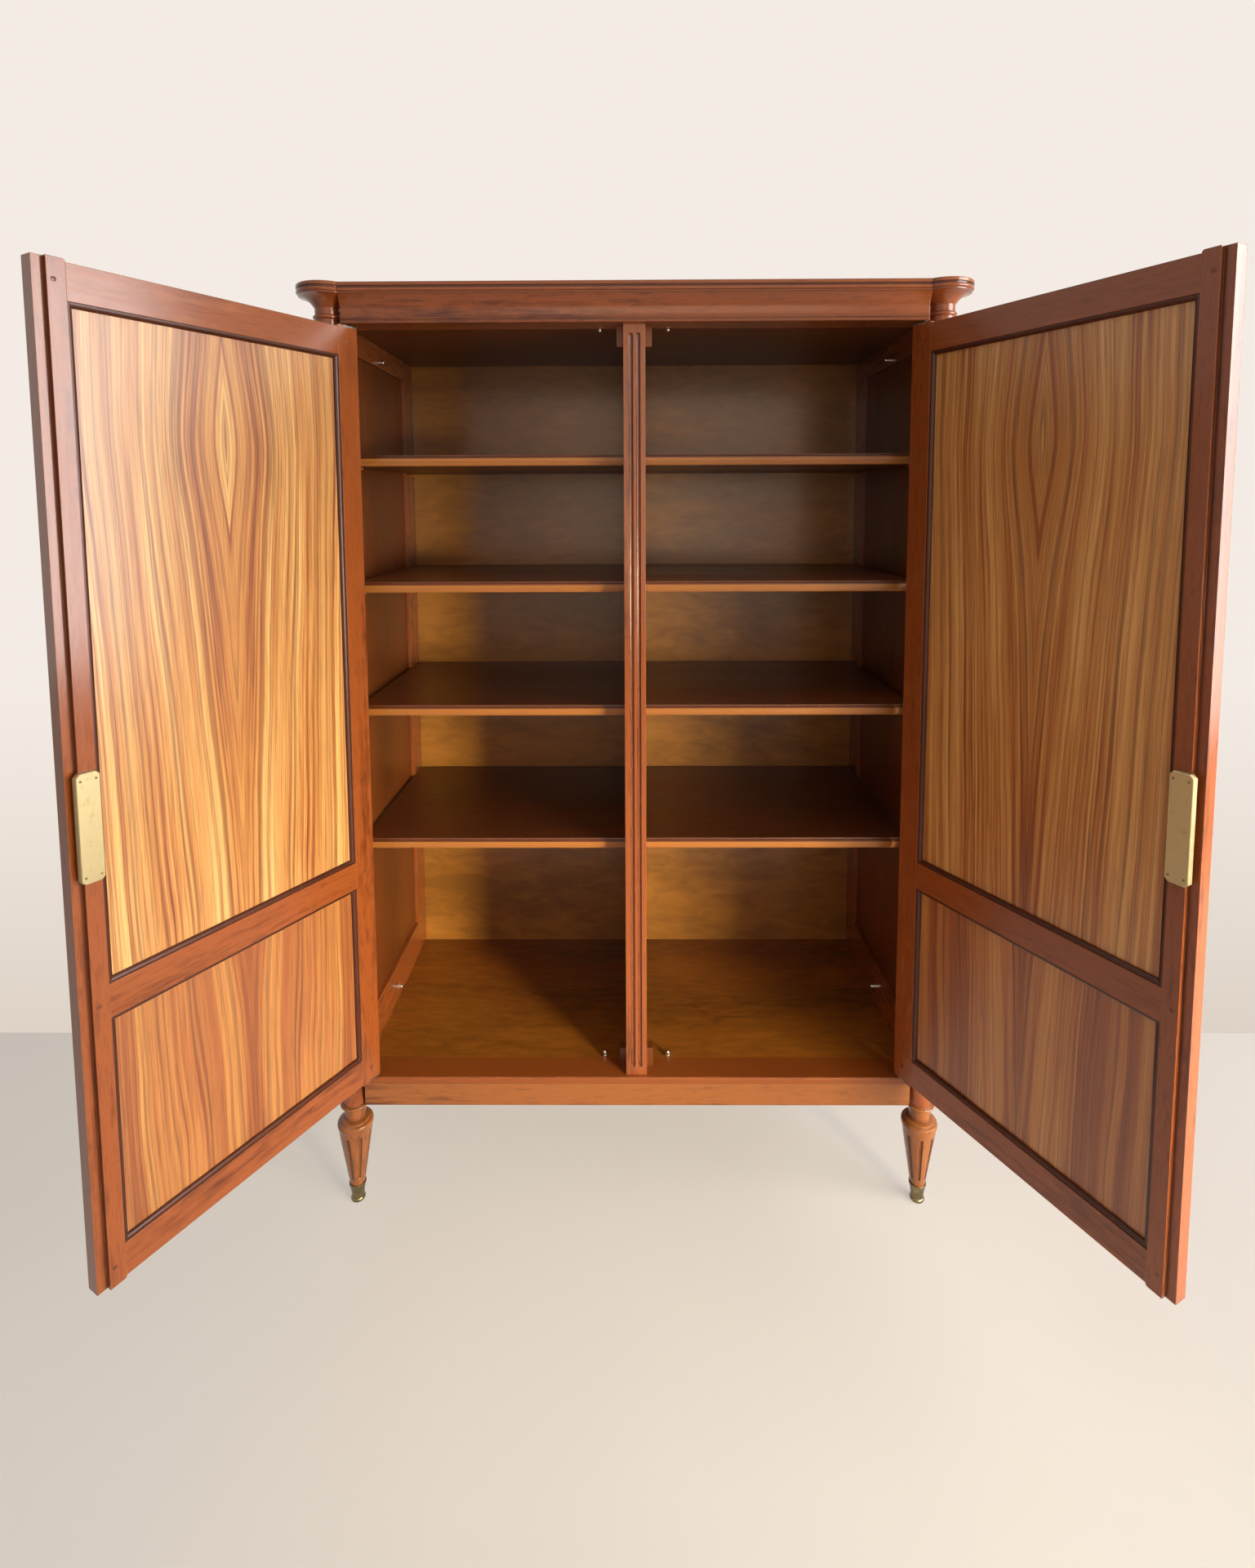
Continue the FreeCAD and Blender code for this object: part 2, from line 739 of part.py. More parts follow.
def stile(u0, u1, rail_u):
    """Door stile, its two corners beside the rail ends rounded over."""
    bar = box(*door_box(u0, u1, 0, door_thickness, door_low, door_high))
    corners = [edge for edge in bar.Edges if abs(edge.tangentAt(edge.FirstParameter).y) > 0.5
               and abs(edge.CenterOfMass.x + between_columns - rail_u) < joint_play]
    return bar.makeFillet(stile_round, corners)


def keyhole():
    """Round hole and slot through the lock stile."""
    u = door_width - lock_lip_gap - lock_width / 2
    x, _, y0, y1, _, _ = door_box(u, u, 0, door_thickness, 0, 0)
    hole = cylinder(keyhole_radius, door_thickness, V(x, y0, lock_z), V(0, 1, 0))
    slot = box(x - keyhole_slot / 2, x + keyhole_slot / 2, y0, y1, lock_z - keyhole_drop, lock_z)
    return hole.fuse(slot)


def door_pieces():
    """Every piece of the left door, closed."""
    stile_end = door_width - lock_stile_face - lip_width
    top_rail = (door_high - rail_setback - rail_width, door_high - rail_setback)
    middle = floor_height + middle_rail_share * clear_height
    middle_rail = (middle - rail_width / 2, middle + rail_width / 2)
    bottom_rail = (door_low + rail_setback, door_low + rail_setback + rail_width)
    rails = {"top_rail": top_rail, "middle_rail": middle_rail, "bottom_rail": bottom_rail}
    openings = {"upper": (middle_rail[1], top_rail[0]), "lower": (bottom_rail[1], middle_rail[0])}
    panel_v = (door_panel_back, door_panel_back + door_panel_thickness)
    panels = {}
    for name, (low, high) in openings.items():
        panels[name] = door_box(hinge_stile_width - groove_depth, stile_end + groove_depth, *panel_v,
                                low - groove_depth, high + groove_depth)
    tenons = {}
    for name, (low, high) in rails.items():
        edge = groove_depth + joint_play
        ends = ((hinge_stile_width - door_tenon_length, hinge_stile_width),
                (stile_end, stile_end + door_tenon_length))
        tenons[name] = [door_box(u0, u1, *panel_v, low + edge, high - edge) for u0, u1 in ends]
    hollows = [grown(*panel) for panel in panels.values()]
    mortises = [grown(*tenon) for pair in tenons.values() for tenon in pair]

    hinge_stile = stile(0, hinge_stile_width, hinge_stile_width)
    lock_stile = stile(stile_end, door_width, stile_end)
    rebate = box(*door_box(door_width - lip_width, door_width, lip_thickness, door_thickness,
                           door_low, door_high))
    pivots = []
    recesses = []
    for plate_low, pin_base, direction in (
            (door_low, door_low, -UP),
            (door_high - pivot_plate_thickness, door_high, UP)):
        plate_high = plate_low + pivot_plate_thickness
        recesses.append(box(*door_box(0, pivot_plate_length + joint_play, 0, door_thickness,
                                      plate_low - (joint_play if direction == UP else 0),
                                      plate_high + (0 if direction == UP else joint_play))))
        plate = box(*door_box(0, pivot_plate_length, pivot_plate_margin, door_thickness - pivot_plate_margin,
                              plate_low, plate_high))
        reach = pivot_pin_length + (door_gap_top if direction == UP else door_gap_bottom)
        pin = cylinder(pivot_pin_radius, reach - joint_play, V(-pivot_x, pivot_y, pin_base), direction)
        pivots.append(plate.fuse(pin).removeSplitter())

    pieces = {
        "hinge_stile": [hinge_stile.cut(hollows + mortises + recesses)],
        "lock_stile": [lock_stile.cut(hollows + mortises + [rebate, keyhole()])],
        "pivots": pivots,
    }
    for name, (low, high) in rails.items():
        rail = box(*door_box(hinge_stile_width, stile_end, 0, door_thickness, low, high)).cut(hollows)
        pieces[name] = [rail.fuse([box(*tenon) for tenon in tenons[name]]).removeSplitter()]
    beads = []
    for name, (low, high) in openings.items():
        pieces[name + "_panel"] = [box(*panels[name])]
        x0, x1, outer, inner, _, _ = door_box(hinge_stile_width, stile_end, *panel_v, 0, 0)
        beads += bead_frame(x0, x1, low, high, inner, V(0, 1, 0))
        beads += bead_frame(x0, x1, low, high, outer, V(0, -1, 0))
    pieces["panel_beads"] = beads

    edge_u = door_width - lock_lip_gap
    case_box = door_box(edge_u - lock_width, edge_u, door_thickness, door_thickness + lock_depth,
                        lock_z - lock_length / 2, lock_z + lock_length / 2)
    case = box(*case_box)
    upright = [edge for edge in case.Edges if abs(edge.tangentAt(edge.FirstParameter).y) > 0.5]
    case = case.makeChamfer(lock_corner, upright)
    face = max(case.Faces, key=lambda item: item.CenterOfMass.y)
    case = case.makeChamfer(lock_bevel, face.Edges)
    bolt_end = case_box[1]
    bolt = box(bolt_end - bolt_length, bolt_end, *bolt_section(0))
    slot = box(bolt_end - bolt_length - bolt_play, bolt_end, *bolt_section(bolt_play))
    pieces["lock_case"] = [case.cut(slot)]
    pieces["lock_bolt"] = [bolt]
    return pieces


def make_doors():
    """Both doors, swung open on their pivots."""
    for name, solids in door_pieces().items():
        axis = V(-pivot_x, pivot_y, 0)
        right = [mirrored(solid) for solid in solids]
        for solid in solids:
            solid.rotate(axis, UP, -left_door_open)
        for solid in right:
            solid.rotate(V(pivot_x, pivot_y, 0), UP, right_door_open)
        keep("left_door_" + name, *solids)
        keep("right_door_" + name, *right)


def main():
    make_legs()
    make_columns()
    make_sides()
    make_floor()
    make_centre()
    make_shelves()
    make_cornice()
    make_studs()
    make_doors()
    os.makedirs("parts", exist_ok=True)
    for name, solids in nodes.items():
        shape = solids[0] if len(solids) == 1 else Part.makeCompound(list(solids))
        shape.exportStep(os.path.join("parts", name + ".step"))
    print(len(nodes), "nodes")


main()
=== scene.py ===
import json
import math

import bpy
import numpy as np
from mathutils import Matrix, Vector


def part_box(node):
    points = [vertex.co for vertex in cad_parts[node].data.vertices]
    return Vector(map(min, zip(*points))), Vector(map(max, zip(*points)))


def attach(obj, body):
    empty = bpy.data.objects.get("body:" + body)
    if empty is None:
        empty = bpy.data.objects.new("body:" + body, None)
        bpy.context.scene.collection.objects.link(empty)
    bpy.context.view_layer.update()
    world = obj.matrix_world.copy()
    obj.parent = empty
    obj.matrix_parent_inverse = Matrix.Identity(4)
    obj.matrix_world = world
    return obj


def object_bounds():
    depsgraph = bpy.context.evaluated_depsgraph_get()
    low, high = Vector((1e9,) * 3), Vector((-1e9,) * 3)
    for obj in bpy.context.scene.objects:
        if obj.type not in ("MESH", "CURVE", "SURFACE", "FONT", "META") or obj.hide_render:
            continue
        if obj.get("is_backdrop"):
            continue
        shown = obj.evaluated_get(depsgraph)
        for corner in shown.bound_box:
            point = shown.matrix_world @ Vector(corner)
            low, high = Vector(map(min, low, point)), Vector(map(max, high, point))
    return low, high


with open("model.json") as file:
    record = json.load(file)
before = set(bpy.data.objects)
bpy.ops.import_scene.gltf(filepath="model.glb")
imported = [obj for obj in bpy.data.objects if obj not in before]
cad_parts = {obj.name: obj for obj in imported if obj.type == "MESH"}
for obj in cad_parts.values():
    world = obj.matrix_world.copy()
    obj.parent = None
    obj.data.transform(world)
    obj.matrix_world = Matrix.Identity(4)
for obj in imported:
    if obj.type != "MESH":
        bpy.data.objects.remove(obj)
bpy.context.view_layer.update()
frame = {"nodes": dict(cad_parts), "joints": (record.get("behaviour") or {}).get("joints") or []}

bl_info = {
    "name": "Open wardrobe finishes",
    "version": (1, 0, 0),
    "blender": (4, 5, 0),
    "location": "3D View > Sidebar > Wardrobe",
    "description": "Polished woods, figured veneer, brass and small fixings for a two-door wardrobe",
    "category": "Object",
}

JOINTS = {joint["child"]: joint for joint in frame["joints"]}
DOORS = ("left_door", "right_door")
MM = 0.001
RELIEF = 0.3 * MM                # depth of the grain's faint relief
GRAIN_SHIFT = (3.0, 2.1, 3.9)    # furthest that a piece's grain is moved, in metres
WHITE = (1.0, 1.0, 1.0)


def linear(code):
    """Turns an sRGB hex colour into the linear red, green and blue that the shaders use."""
    parts = [int(code[i:i + 2], 16) / 255 for i in (1, 3, 5)]
    return tuple(c / 12.92 if c <= 0.04045 else ((c + 0.055) / 1.055) ** 2.4 for c in parts)


def colour(name, description, code):
    """One colour that a user may change."""
    return bpy.props.FloatVectorProperty(name=name, description=description, subtype="COLOR", size=3,
                                         min=0.0, max=1.0, default=linear(code))


def length(name, description, millimetres):
    """One real size that a user may change."""
    return bpy.props.FloatProperty(name=name, description=description, unit="LENGTH", min=0.0,
                                   precision=4, default=millimetres * MM)


def power(name, description, watts):
    """One lamp's power that a user may change."""
    return bpy.props.FloatProperty(name=name, description=description, unit="POWER", min=0.0,
                                   default=watts)


class WardrobeWoodColours(bpy.types.PropertyGroup):
    """Colours of the woods."""

    frame_dark: colour("Frame, dark grain", "Dark grain lines of the solid frame wood", "#50210D")
    frame_mid: colour("Frame", "Main colour of the solid frame wood", "#904B22")
    frame_light: colour("Frame, light grain", "Pale streaks of the solid frame wood", "#AA6130")
    base_mid: colour("Legs", "Main colour of the legs and aprons", "#925628")
    base_light: colour("Legs, light grain", "Pale streaks of the legs and aprons", "#AD6F38")
    veneer_dark: colour("Veneer, dark line", "Dark lines in the figured veneer", "#602C14")
    veneer_red: colour("Veneer, red", "Red-brown ground of the figured veneer", "#9A562A")
    veneer_gold: colour("Veneer, gold", "Golden ground of the figured veneer", "#BD8144")
    veneer_light: colour("Veneer, pale streak", "Palest streaks of the figured veneer", "#DFB06E")
    bead: colour("Bead", "Stained beads around the panels", "#48200F")
    side: colour("Side panels", "Side panels, partition, top and joint pegs", "#6B3615")
    shelf: colour("Shelf", "Shelf tops", "#5E2E12")
    floor: colour("Floor board", "Golden field of the floor board", "#8E551A")
    floor_front: colour("Floor front", "Front strip of the floor board", "#86461A")
    shelf_edge: colour("Shelf edge", "Lower band of the shelf edges", "#A5682F")
    back: colour("Back panel", "Golden plywood of the back", "#9A6728")
    # Paler colour of rubbed edges, which also serves as a painted highlight along every sharp wood edge.
    worn: colour("Worn edge", "Rubbed edges of the polished wood", "#B98763")


class WardrobeMetalColours(bpy.types.PropertyGroup):
    """Colours of the metals."""

    brass: colour("Brass", "Rubbed lock cases", "#B3A27A")
    brass_aged: colour("Aged brass", "Tarnish in the brass", "#7B6E52")
    nickel: colour("Nickel", "Plated heads of the assembly bolts", "#E4E0D6")
    steel: colour("Steel", "Pivot plates and pins", "#8F8C86")


class WardrobeSizes(bpy.types.PropertyGroup):
    """Sizes of grain, figure, small fixings and the cornice returns."""

    grain: length("Grain", "Spacing of the frame wood's grain lines", 7.0)
    tone: length("Tone", "Spacing of the broad colour changes in the frame wood", 55.0)
    streak: length("Streak", "Width of the veneer's broad streaks", 13.0)
    line: length("Line", "Spacing of the veneer's fine lines", 4.4)
    sway: length("Sway", "Spacing of the slow bends in the veneer's streaks", 1000 / 9)
    eye: length("Eye", "Half width of the veneer's pointed eye", 16.0)
    cloud: length("Cloud", "Spacing of the soft colour changes in the inside boards", 1000 / 7)
    edge: length("Edge", "Rounding of rubbed edges", 1.3)
    pin: length("Lock pin", "Diameter of the pins in the lock cases", 3.4)
    pin_inset: length("Pin inset", "Distance of the lock pins from the sides of the case", 5.5)
    peg: length("Joint peg", "Diameter of the pegs that pin the door joints", 6.5)
    bead: length("Cornice bead", "Diameter of the two small beads of the cornice", 3.8)
    bead_step: length("Bead step", "Distance from one cornice bead to the next", 6.6)
    hollow_foot: length("Hollow foot", "Height of the cornice hollow's foot above the underside", 14.8)
    hollow_high: length("Hollow height", "Height of the cornice hollow", 33.5)
    hollow_reach: length("Hollow reach", "How far the cornice hollow swings out", 13.0)
    top_drop: length("Top drop", "Depth of the cornice returns' top below the caps' top", 2.0)


class WardrobeStage(bpy.types.PropertyGroup):
    """Stage colours and light."""

    floor: colour("Floor", "Pale floor", "#CEC5BB")
    floor_seen: colour("Floor, as seen", "Pale floor as the eye finds it away from shadows", "#F3EBE2")
    cloud: length("Floor cloud", "Spacing of the floor's soft colour changes", 1000 / 2.2)
    wall: colour("Wall", "Pale wall behind", "#F4ECE4")
    # Darker colour low on the wall: painted shade where the wall meets the floor.
    wall_low_shade: colour("Wall, low", "Wall where it meets the floor", "#DED2C6")
    warm: colour("Warm light", "Colour of the soft light from the front", "#FFD5B0")
    gold: colour("Golden light", "Colour of the low light from the front right", "#FFF0C8")
    key: power("Window light", "Power of the soft light from the right", 146.0)
    fill: power("Front light", "Power of the soft light from the front", 16.0)
    low: power("Low light", "Power of the low light from the front right", 9.2)
    top: power("Ceiling light", "Power of the wide soft light overhead", 42.0)
    sky: bpy.props.FloatProperty(name="Room light", description="Strength of the even light all round",
                                 default=0.15, min=0.0)


def woods():
    """Wood colours of the scene."""
    return bpy.context.scene.wardrobe_woods


def metals():
    """Metal colours of the scene."""
    return bpy.context.scene.wardrobe_metals


def sizes():
    """Sizes of the scene."""
    return bpy.context.scene.wardrobe_sizes


def shade(parts, share=1.0):
    """Colour with its alpha, or a darker or paler share of it."""
    return (*(min(1.0, share * part) for part in parts), 1.0)


def add(tree, kind, inputs=None, stops=None, **settings):
    """Adds one node. Settings are its own fields, inputs its sockets' values or links, and stops the
    places and shades of a ramp."""
    node = tree.nodes.new(kind)
    for field, value in settings.items():
        setattr(node, field, value)
    for key, value in (inputs or {}).items():
        if isinstance(value, bpy.types.NodeSocket):
            tree.links.new(value, node.inputs[key])
        else:
            node.inputs[key].default_value = value
    if stops:
        ramp = node.color_ramp
        while len(ramp.elements) < len(stops):
            ramp.elements.new(1.0)
        for element, (position, tone) in zip(ramp.elements, stops):
            element.position = position
            element.color = tone
    return node


def fresh(name):
    """An empty material, its nodes and the Object coordinates."""
    material = bpy.data.materials.new(name)
    material.use_nodes = True
    tree = material.node_tree
    tree.nodes.clear()
    return material, tree, add(tree, "ShaderNodeTexCoord").outputs["Object"]


def one_axis(along, factor):
    """Scale that acts on one axis and leaves the others alone."""
    return [factor if axis == along else 1.0 for axis in "XYZ"]


def along_grain(tree, where, along, long, turn=0.0):
    """Coordinates drawn out along the grain, turned with a door, and moved by a step that differs from
    piece to piece, so that no grain runs on."""
    chance = add(tree, "ShaderNodeObjectInfo").outputs["Random"]
    step = add(tree, "ShaderNodeVectorMath", {0: GRAIN_SHIFT, "Scale": chance}, operation="SCALE")
    moved = add(tree, "ShaderNodeVectorMath", {0: where, 1: step.outputs[0]}, operation="ADD")
    return add(tree, "ShaderNodeMapping", {
        "Vector": moved.outputs[0], "Rotation": (0.0, 0.0, turn), "Scale": one_axis(along, long)},
        vector_type="TEXTURE").outputs[0]


def layered(tree, level, *layers):
    """Patterns laid over one another: a first level plus each pattern times its weight."""
    for pattern, weight in layers:
        level = add(tree, "ShaderNodeMath", {0: pattern, 1: weight, 2: level},
                    operation="MULTIPLY_ADD").outputs[0]
    return level


def edge_wear_and_highlight(tree, radius, most):
    """Softened normal, and a mask that rises to its most on sharp edges, where polish rubs away; on the woods
    the paler colour laid there is also a painted highlight.
    """
    soft = add(tree, "ShaderNodeBevel", {"Radius": radius}, samples=4).outputs[0]
    flat = add(tree, "ShaderNodeNewGeometry").outputs["Normal"]
    meet = add(tree, "ShaderNodeVectorMath", {0: soft, 1: flat}, operation="DOT_PRODUCT")
    mask = add(tree, "ShaderNodeMapRange", {
        "Value": meet.outputs["Value"], "From Min": 0.97, "From Max": 0.75, "To Max": most})
    return soft, mask.outputs[0]


def frame_wood(name, along, turn=0.0, golden=False):
    """French-polished cherry-like frame wood, planed and polished by hand: reddish brown, straight
    soft grain along the piece, a clear warm gloss with faint waves, edges rubbed a little paler and given a
    painted highlight, and painted shade darkening the flutes and other hollows."""
    tint, size = woods(), sizes()
    mid, light = (tint.base_mid, tint.base_light) if golden else (tint.frame_mid, tint.frame_light)
    grain_long, knots_shorter = 16.0, 5.0
    material, tree, where = fresh(name)
    long_place = along_grain(tree, where, along, grain_long, turn)
    short_place = add(tree, "ShaderNodeMapping", {
        "Vector": long_place, "Scale": one_axis(along, knots_shorter)}).outputs[0]
    tone = add(tree, "ShaderNodeTexNoise", {
        "Vector": long_place, "Scale": 1 / size.tone, "Detail": 2.0}).outputs[0]
    grain = add(tree, "ShaderNodeTexNoise", {
        "Vector": long_place, "Scale": 1 / size.grain, "Detail": 5.0, "Roughness": 0.62,
        "Distortion": 0.4}).outputs[0]
    pores = add(tree, "ShaderNodeTexNoise", {
        "Vector": long_place, "Scale": 2.6 / size.grain, "Detail": 2.0, "Roughness": 0.8})
    mottle = add(tree, "ShaderNodeTexNoise", {
        "Vector": short_place, "Scale": 0.6 / size.grain, "Detail": 2.0}).outputs[0]
    mixed = layered(tree, 0.14, (tone, 0.36), (mottle, 0.15), (grain, 0.22))
    wood = add(tree, "ShaderNodeValToRGB", {"Fac": mixed}, stops=[
        (0.36, shade(tint.frame_dark)), (0.47, shade(mid)), (0.55, shade(mid)),
        (0.64, shade(light))]).outputs[0]
    speck = add(tree, "ShaderNodeMapRange", {
        "Value": pores.outputs[0], "From Min": 0.34, "From Max": 0.46, "To Min": 0.78, "To Max": 1.0})
    knots = add(tree, "ShaderNodeTexVoronoi", {
        "Vector": short_place, "Scale": 0.55 / size.tone}, feature="SMOOTH_F1")
    knot = add(tree, "ShaderNodeMapRange", {
        "Value": knots.outputs["Distance"], "From Min": 0.03, "From Max": 0.17, "To Min": 0.75,
        "To Max": 1.0})
    for darker in (speck, knot):
        wood = add(tree, "ShaderNodeMix", {0: 1.0, 6: wood, 7: darker.outputs[0]},
                   data_type="RGBA", blend_type="MULTIPLY").outputs[2]
    # Painted shade: flutes, quirks and other hollows darken towards a dark red-brown, standing in for the
    # shade that falls in them.
    hollow = add(tree, "ShaderNodeAmbientOcclusion", {"Distance": 8 * MM}, samples=4, only_local=True)
    hollow_shade = add(tree, "ShaderNodeMapRange", {
        "Value": hollow.outputs["AO"], "From Min": 0.45, "From Max": 0.92, "To Min": 0.9, "To Max": 0.0})
    wood = add(tree, "ShaderNodeMix", {
        0: hollow_shade.outputs[0], 6: wood, 7: shade(tint.frame_dark, 0.4)}, data_type="RGBA").outputs[2]
    # Sharp edges turn paler: rubbed polish, together with a painted highlight along them.
    soft, edge = edge_wear_and_highlight(tree, size.edge, most=0.5)
    wood = add(tree, "ShaderNodeMix", {0: edge, 6: wood, 7: shade(tint.worn)}, data_type="RGBA")
    gloss = add(tree, "ShaderNodeMapRange", {
        "Value": grain, "From Min": 0.3, "From Max": 0.7, "To Min": 0.15, "To Max": 0.25})
    bump = add(tree, "ShaderNodeBump", {
        "Height": grain, "Strength": 0.06, "Distance": RELIEF, "Normal": soft})
    shader = add(tree, "ShaderNodeBsdfPrincipled", {
        "Base Color": wood.outputs[2], "Roughness": gloss.outputs[0], "Normal": bump.outputs[0],
        "Specular IOR Level": 0.42, "Coat Weight": 0.2, "Coat Roughness": 0.16})
    add(tree, "ShaderNodeOutputMaterial", {"Surface": shader.outputs["BSDF"]})
    return material


def veneer(name, door, centre, figure_high, seed, tone, coarse):
    """Book-matched figured veneer, two leaves mirrored about the panel's middle and French polished:
    golden and red-brown streaks that gather towards the middle and close in a long pointed eye.
    A streak's place is its distance from the joint, pushed outwards away from the eye's height by a
    rise that levels off with height and dies out sideways, and pulled in a little below the eye."""
    tint, size = woods(), sizes()
    eye_wide, eye_long = 1.9 * size.eye, 9.4 * size.eye
    push_wide, field_wide = 5.5 * size.eye, 15 * size.eye
    swing = 18 * MM * coarse
    pull_below = 0.03
    drift = 0.011
    zones = [(0.0, 0.74), (0.05, 0.66), (0.07, 0.26), (0.12, 0.44), (0.27, 0.34), (0.37, 0.66),
             (0.47, 0.58), (0.58, 0.38), (0.72, 0.62), (1.0, 0.48)]    # place on the leaf, paleness

    material, tree, where = fresh(name)
    here = add(tree, "ShaderNodeMapping", {
        "Vector": where, "Location": centre, "Rotation": (0.0, 0.0, door_turn(door))},
        vector_type="TEXTURE")
    parts = add(tree, "ShaderNodeSeparateXYZ", {0: here.outputs[0]}).outputs
    across = add(tree, "ShaderNodeMath", {0: parts[0]}, operation="ABSOLUTE").outputs[0]
    high = add(tree, "ShaderNodeMath", {0: parts[2], 1: figure_high}, operation="SUBTRACT").outputs[0]
    leaf = add(tree, "ShaderNodeCombineXYZ", {0: across, 1: seed, 2: high}).outputs[0]
    slow_place = add(tree, "ShaderNodeMapping", {"Vector": leaf, "Scale": one_axis("Z", 0.22)}).outputs[0]
    sway = add(tree, "ShaderNodeTexNoise", {
        "Vector": slow_place, "Scale": 1 / size.sway, "Detail": 2.0}).outputs[0]
    sway = layered(tree, -swing / 2, (sway, swing))

    far = add(tree, "ShaderNodeMath", {0: high, 1: eye_long}, operation="DIVIDE").outputs[0]
    far = add(tree, "ShaderNodeMath", {0: far, 1: far}, operation="MULTIPLY").outputs[0]
    past = add(tree, "ShaderNodeMath", {0: far, 1: 1.0}, operation="ADD").outputs[0]
    push = add(tree, "ShaderNodeMath", {0: far, 1: past}, operation="DIVIDE").outputs[0]
    wide = add(tree, "ShaderNodeMath", {0: across, 1: push_wide}, operation="DIVIDE").outputs[0]
    wide = add(tree, "ShaderNodeMath", {0: wide, 1: wide, 2: 1.0}, operation="MULTIPLY_ADD").outputs[0]
    push = add(tree, "ShaderNodeMath", {0: push, 1: wide}, operation="DIVIDE").outputs[0]
    below = add(tree, "ShaderNodeMath", {0: high, 1: 0.0}, operation="MINIMUM").outputs[0]
    ring = layered(tree, across, (push, eye_wide), (below, -pull_below), (sway, 1.0))
    slip = add(tree, "ShaderNodeMath", {0: high, 1: drift}, operation="MULTIPLY").outputs[0]
    path = add(tree, "ShaderNodeCombineXYZ", {0: ring, 1: seed, 2: slip}).outputs[0]

    broad = add(tree, "ShaderNodeTexNoise", {
        "Vector": path, "Scale": 1 / (coarse * size.streak), "Detail": 2.0}).outputs[0]
    calm = add(tree, "ShaderNodeTexNoise", {"Vector": path, "Scale": 0.3 / size.streak, "Detail": 1.0})
    calm = add(tree, "ShaderNodeMapRange", {
        "Value": calm.outputs[0], "From Min": 0.35, "From Max": 0.65, "To Min": 0.3, "To Max": 1.3})
    fine = add(tree, "ShaderNodeTexNoise", {
        "Vector": path, "Scale": 1 / size.line, "Detail": 3.0, "Roughness": 0.6})
    fine = add(tree, "ShaderNodeMath", {0: fine.outputs[0], 1: 0.5}, operation="SUBTRACT")
    fine = add(tree, "ShaderNodeMath", {
        0: fine.outputs[0], 1: calm.outputs[0]}, operation="MULTIPLY").outputs[0]
    field = add(tree, "ShaderNodeMapRange", {"Value": ring, "From Min": 0.0, "From Max": field_wide})
    zone = add(tree, "ShaderNodeValToRGB", {"Fac": field.outputs[0]}, stops=[
        (place, shade(WHITE, pale)) for place, pale in zones]).outputs[0]
    mixed = layered(tree, tone - 0.05, (broad, 0.66), (fine, 0.9 / coarse), (zone, 0.5))
    wood = add(tree, "ShaderNodeValToRGB", {"Fac": mixed}, stops=[
        (0.1, shade(tint.veneer_dark)), (0.34, shade(tint.veneer_red)), (0.50, shade(tint.veneer_gold)),
        (0.72, shade(tint.veneer_light))]).outputs[0]

    vein_place = add(tree, "ShaderNodeMapping", {"Vector": path, "Scale": one_axis("Z", 0.3)}).outputs[0]
    vein = add(tree, "ShaderNodeTexNoise", {"Vector": vein_place, "Scale": 0.24 / size.line, "Detail": 2.0})
    vein = add(tree, "ShaderNodeMath", {0: vein.outputs[0], 1: 0.5}, operation="SUBTRACT")
    vein = add(tree, "ShaderNodeMath", {0: vein.outputs[0]}, operation="ABSOLUTE")
    vein = add(tree, "ShaderNodeMapRange", {
        "Value": vein.outputs[0], "From Min": 0.004, "From Max": 0.026, "To Min": 0.5, "To Max": 0.0})
    wood = add(tree, "ShaderNodeMix", {
        0: vein.outputs[0], 6: wood, 7: shade(tint.veneer_dark)}, data_type="RGBA").outputs[2]
    pore_place = add(tree, "ShaderNodeMapping", {"Vector": leaf, "Scale": one_axis("Z", 0.03)}).outputs[0]
    pores = add(tree, "ShaderNodeTexNoise", {"Vector": pore_place, "Scale": 1 / (2.4 * MM), "Detail": 2.0})
    speck = add(tree, "ShaderNodeMapRange", {
        "Value": pores.outputs[0], "From Min": 0.34, "From Max": 0.5, "To Min": 0.8, "To Max": 1.0})
    wood = add(tree, "ShaderNodeMix", {0: 1.0, 6: wood, 7: speck.outputs[0]},
               data_type="RGBA", blend_type="MULTIPLY")
    gloss = add(tree, "ShaderNodeMapRange", {
        "Value": mixed, "From Min": 0.1, "From Max": 0.7, "To Min": 0.36, "To Max": 0.28})
    bump = add(tree, "ShaderNodeBump", {"Height": mixed, "Strength": 0.05, "Distance": RELIEF})
    shader = add(tree, "ShaderNodeBsdfPrincipled", {
        "Base Color": wood.outputs[2], "Roughness": gloss.outputs[0], "Normal": bump.outputs[0],
        "Specular IOR Level": 0.55, "Coat Weight": 0.38, "Coat Roughness": 0.3})
    add(tree, "ShaderNodeOutputMaterial", {"Surface": shader.outputs["BSDF"]})
    return material


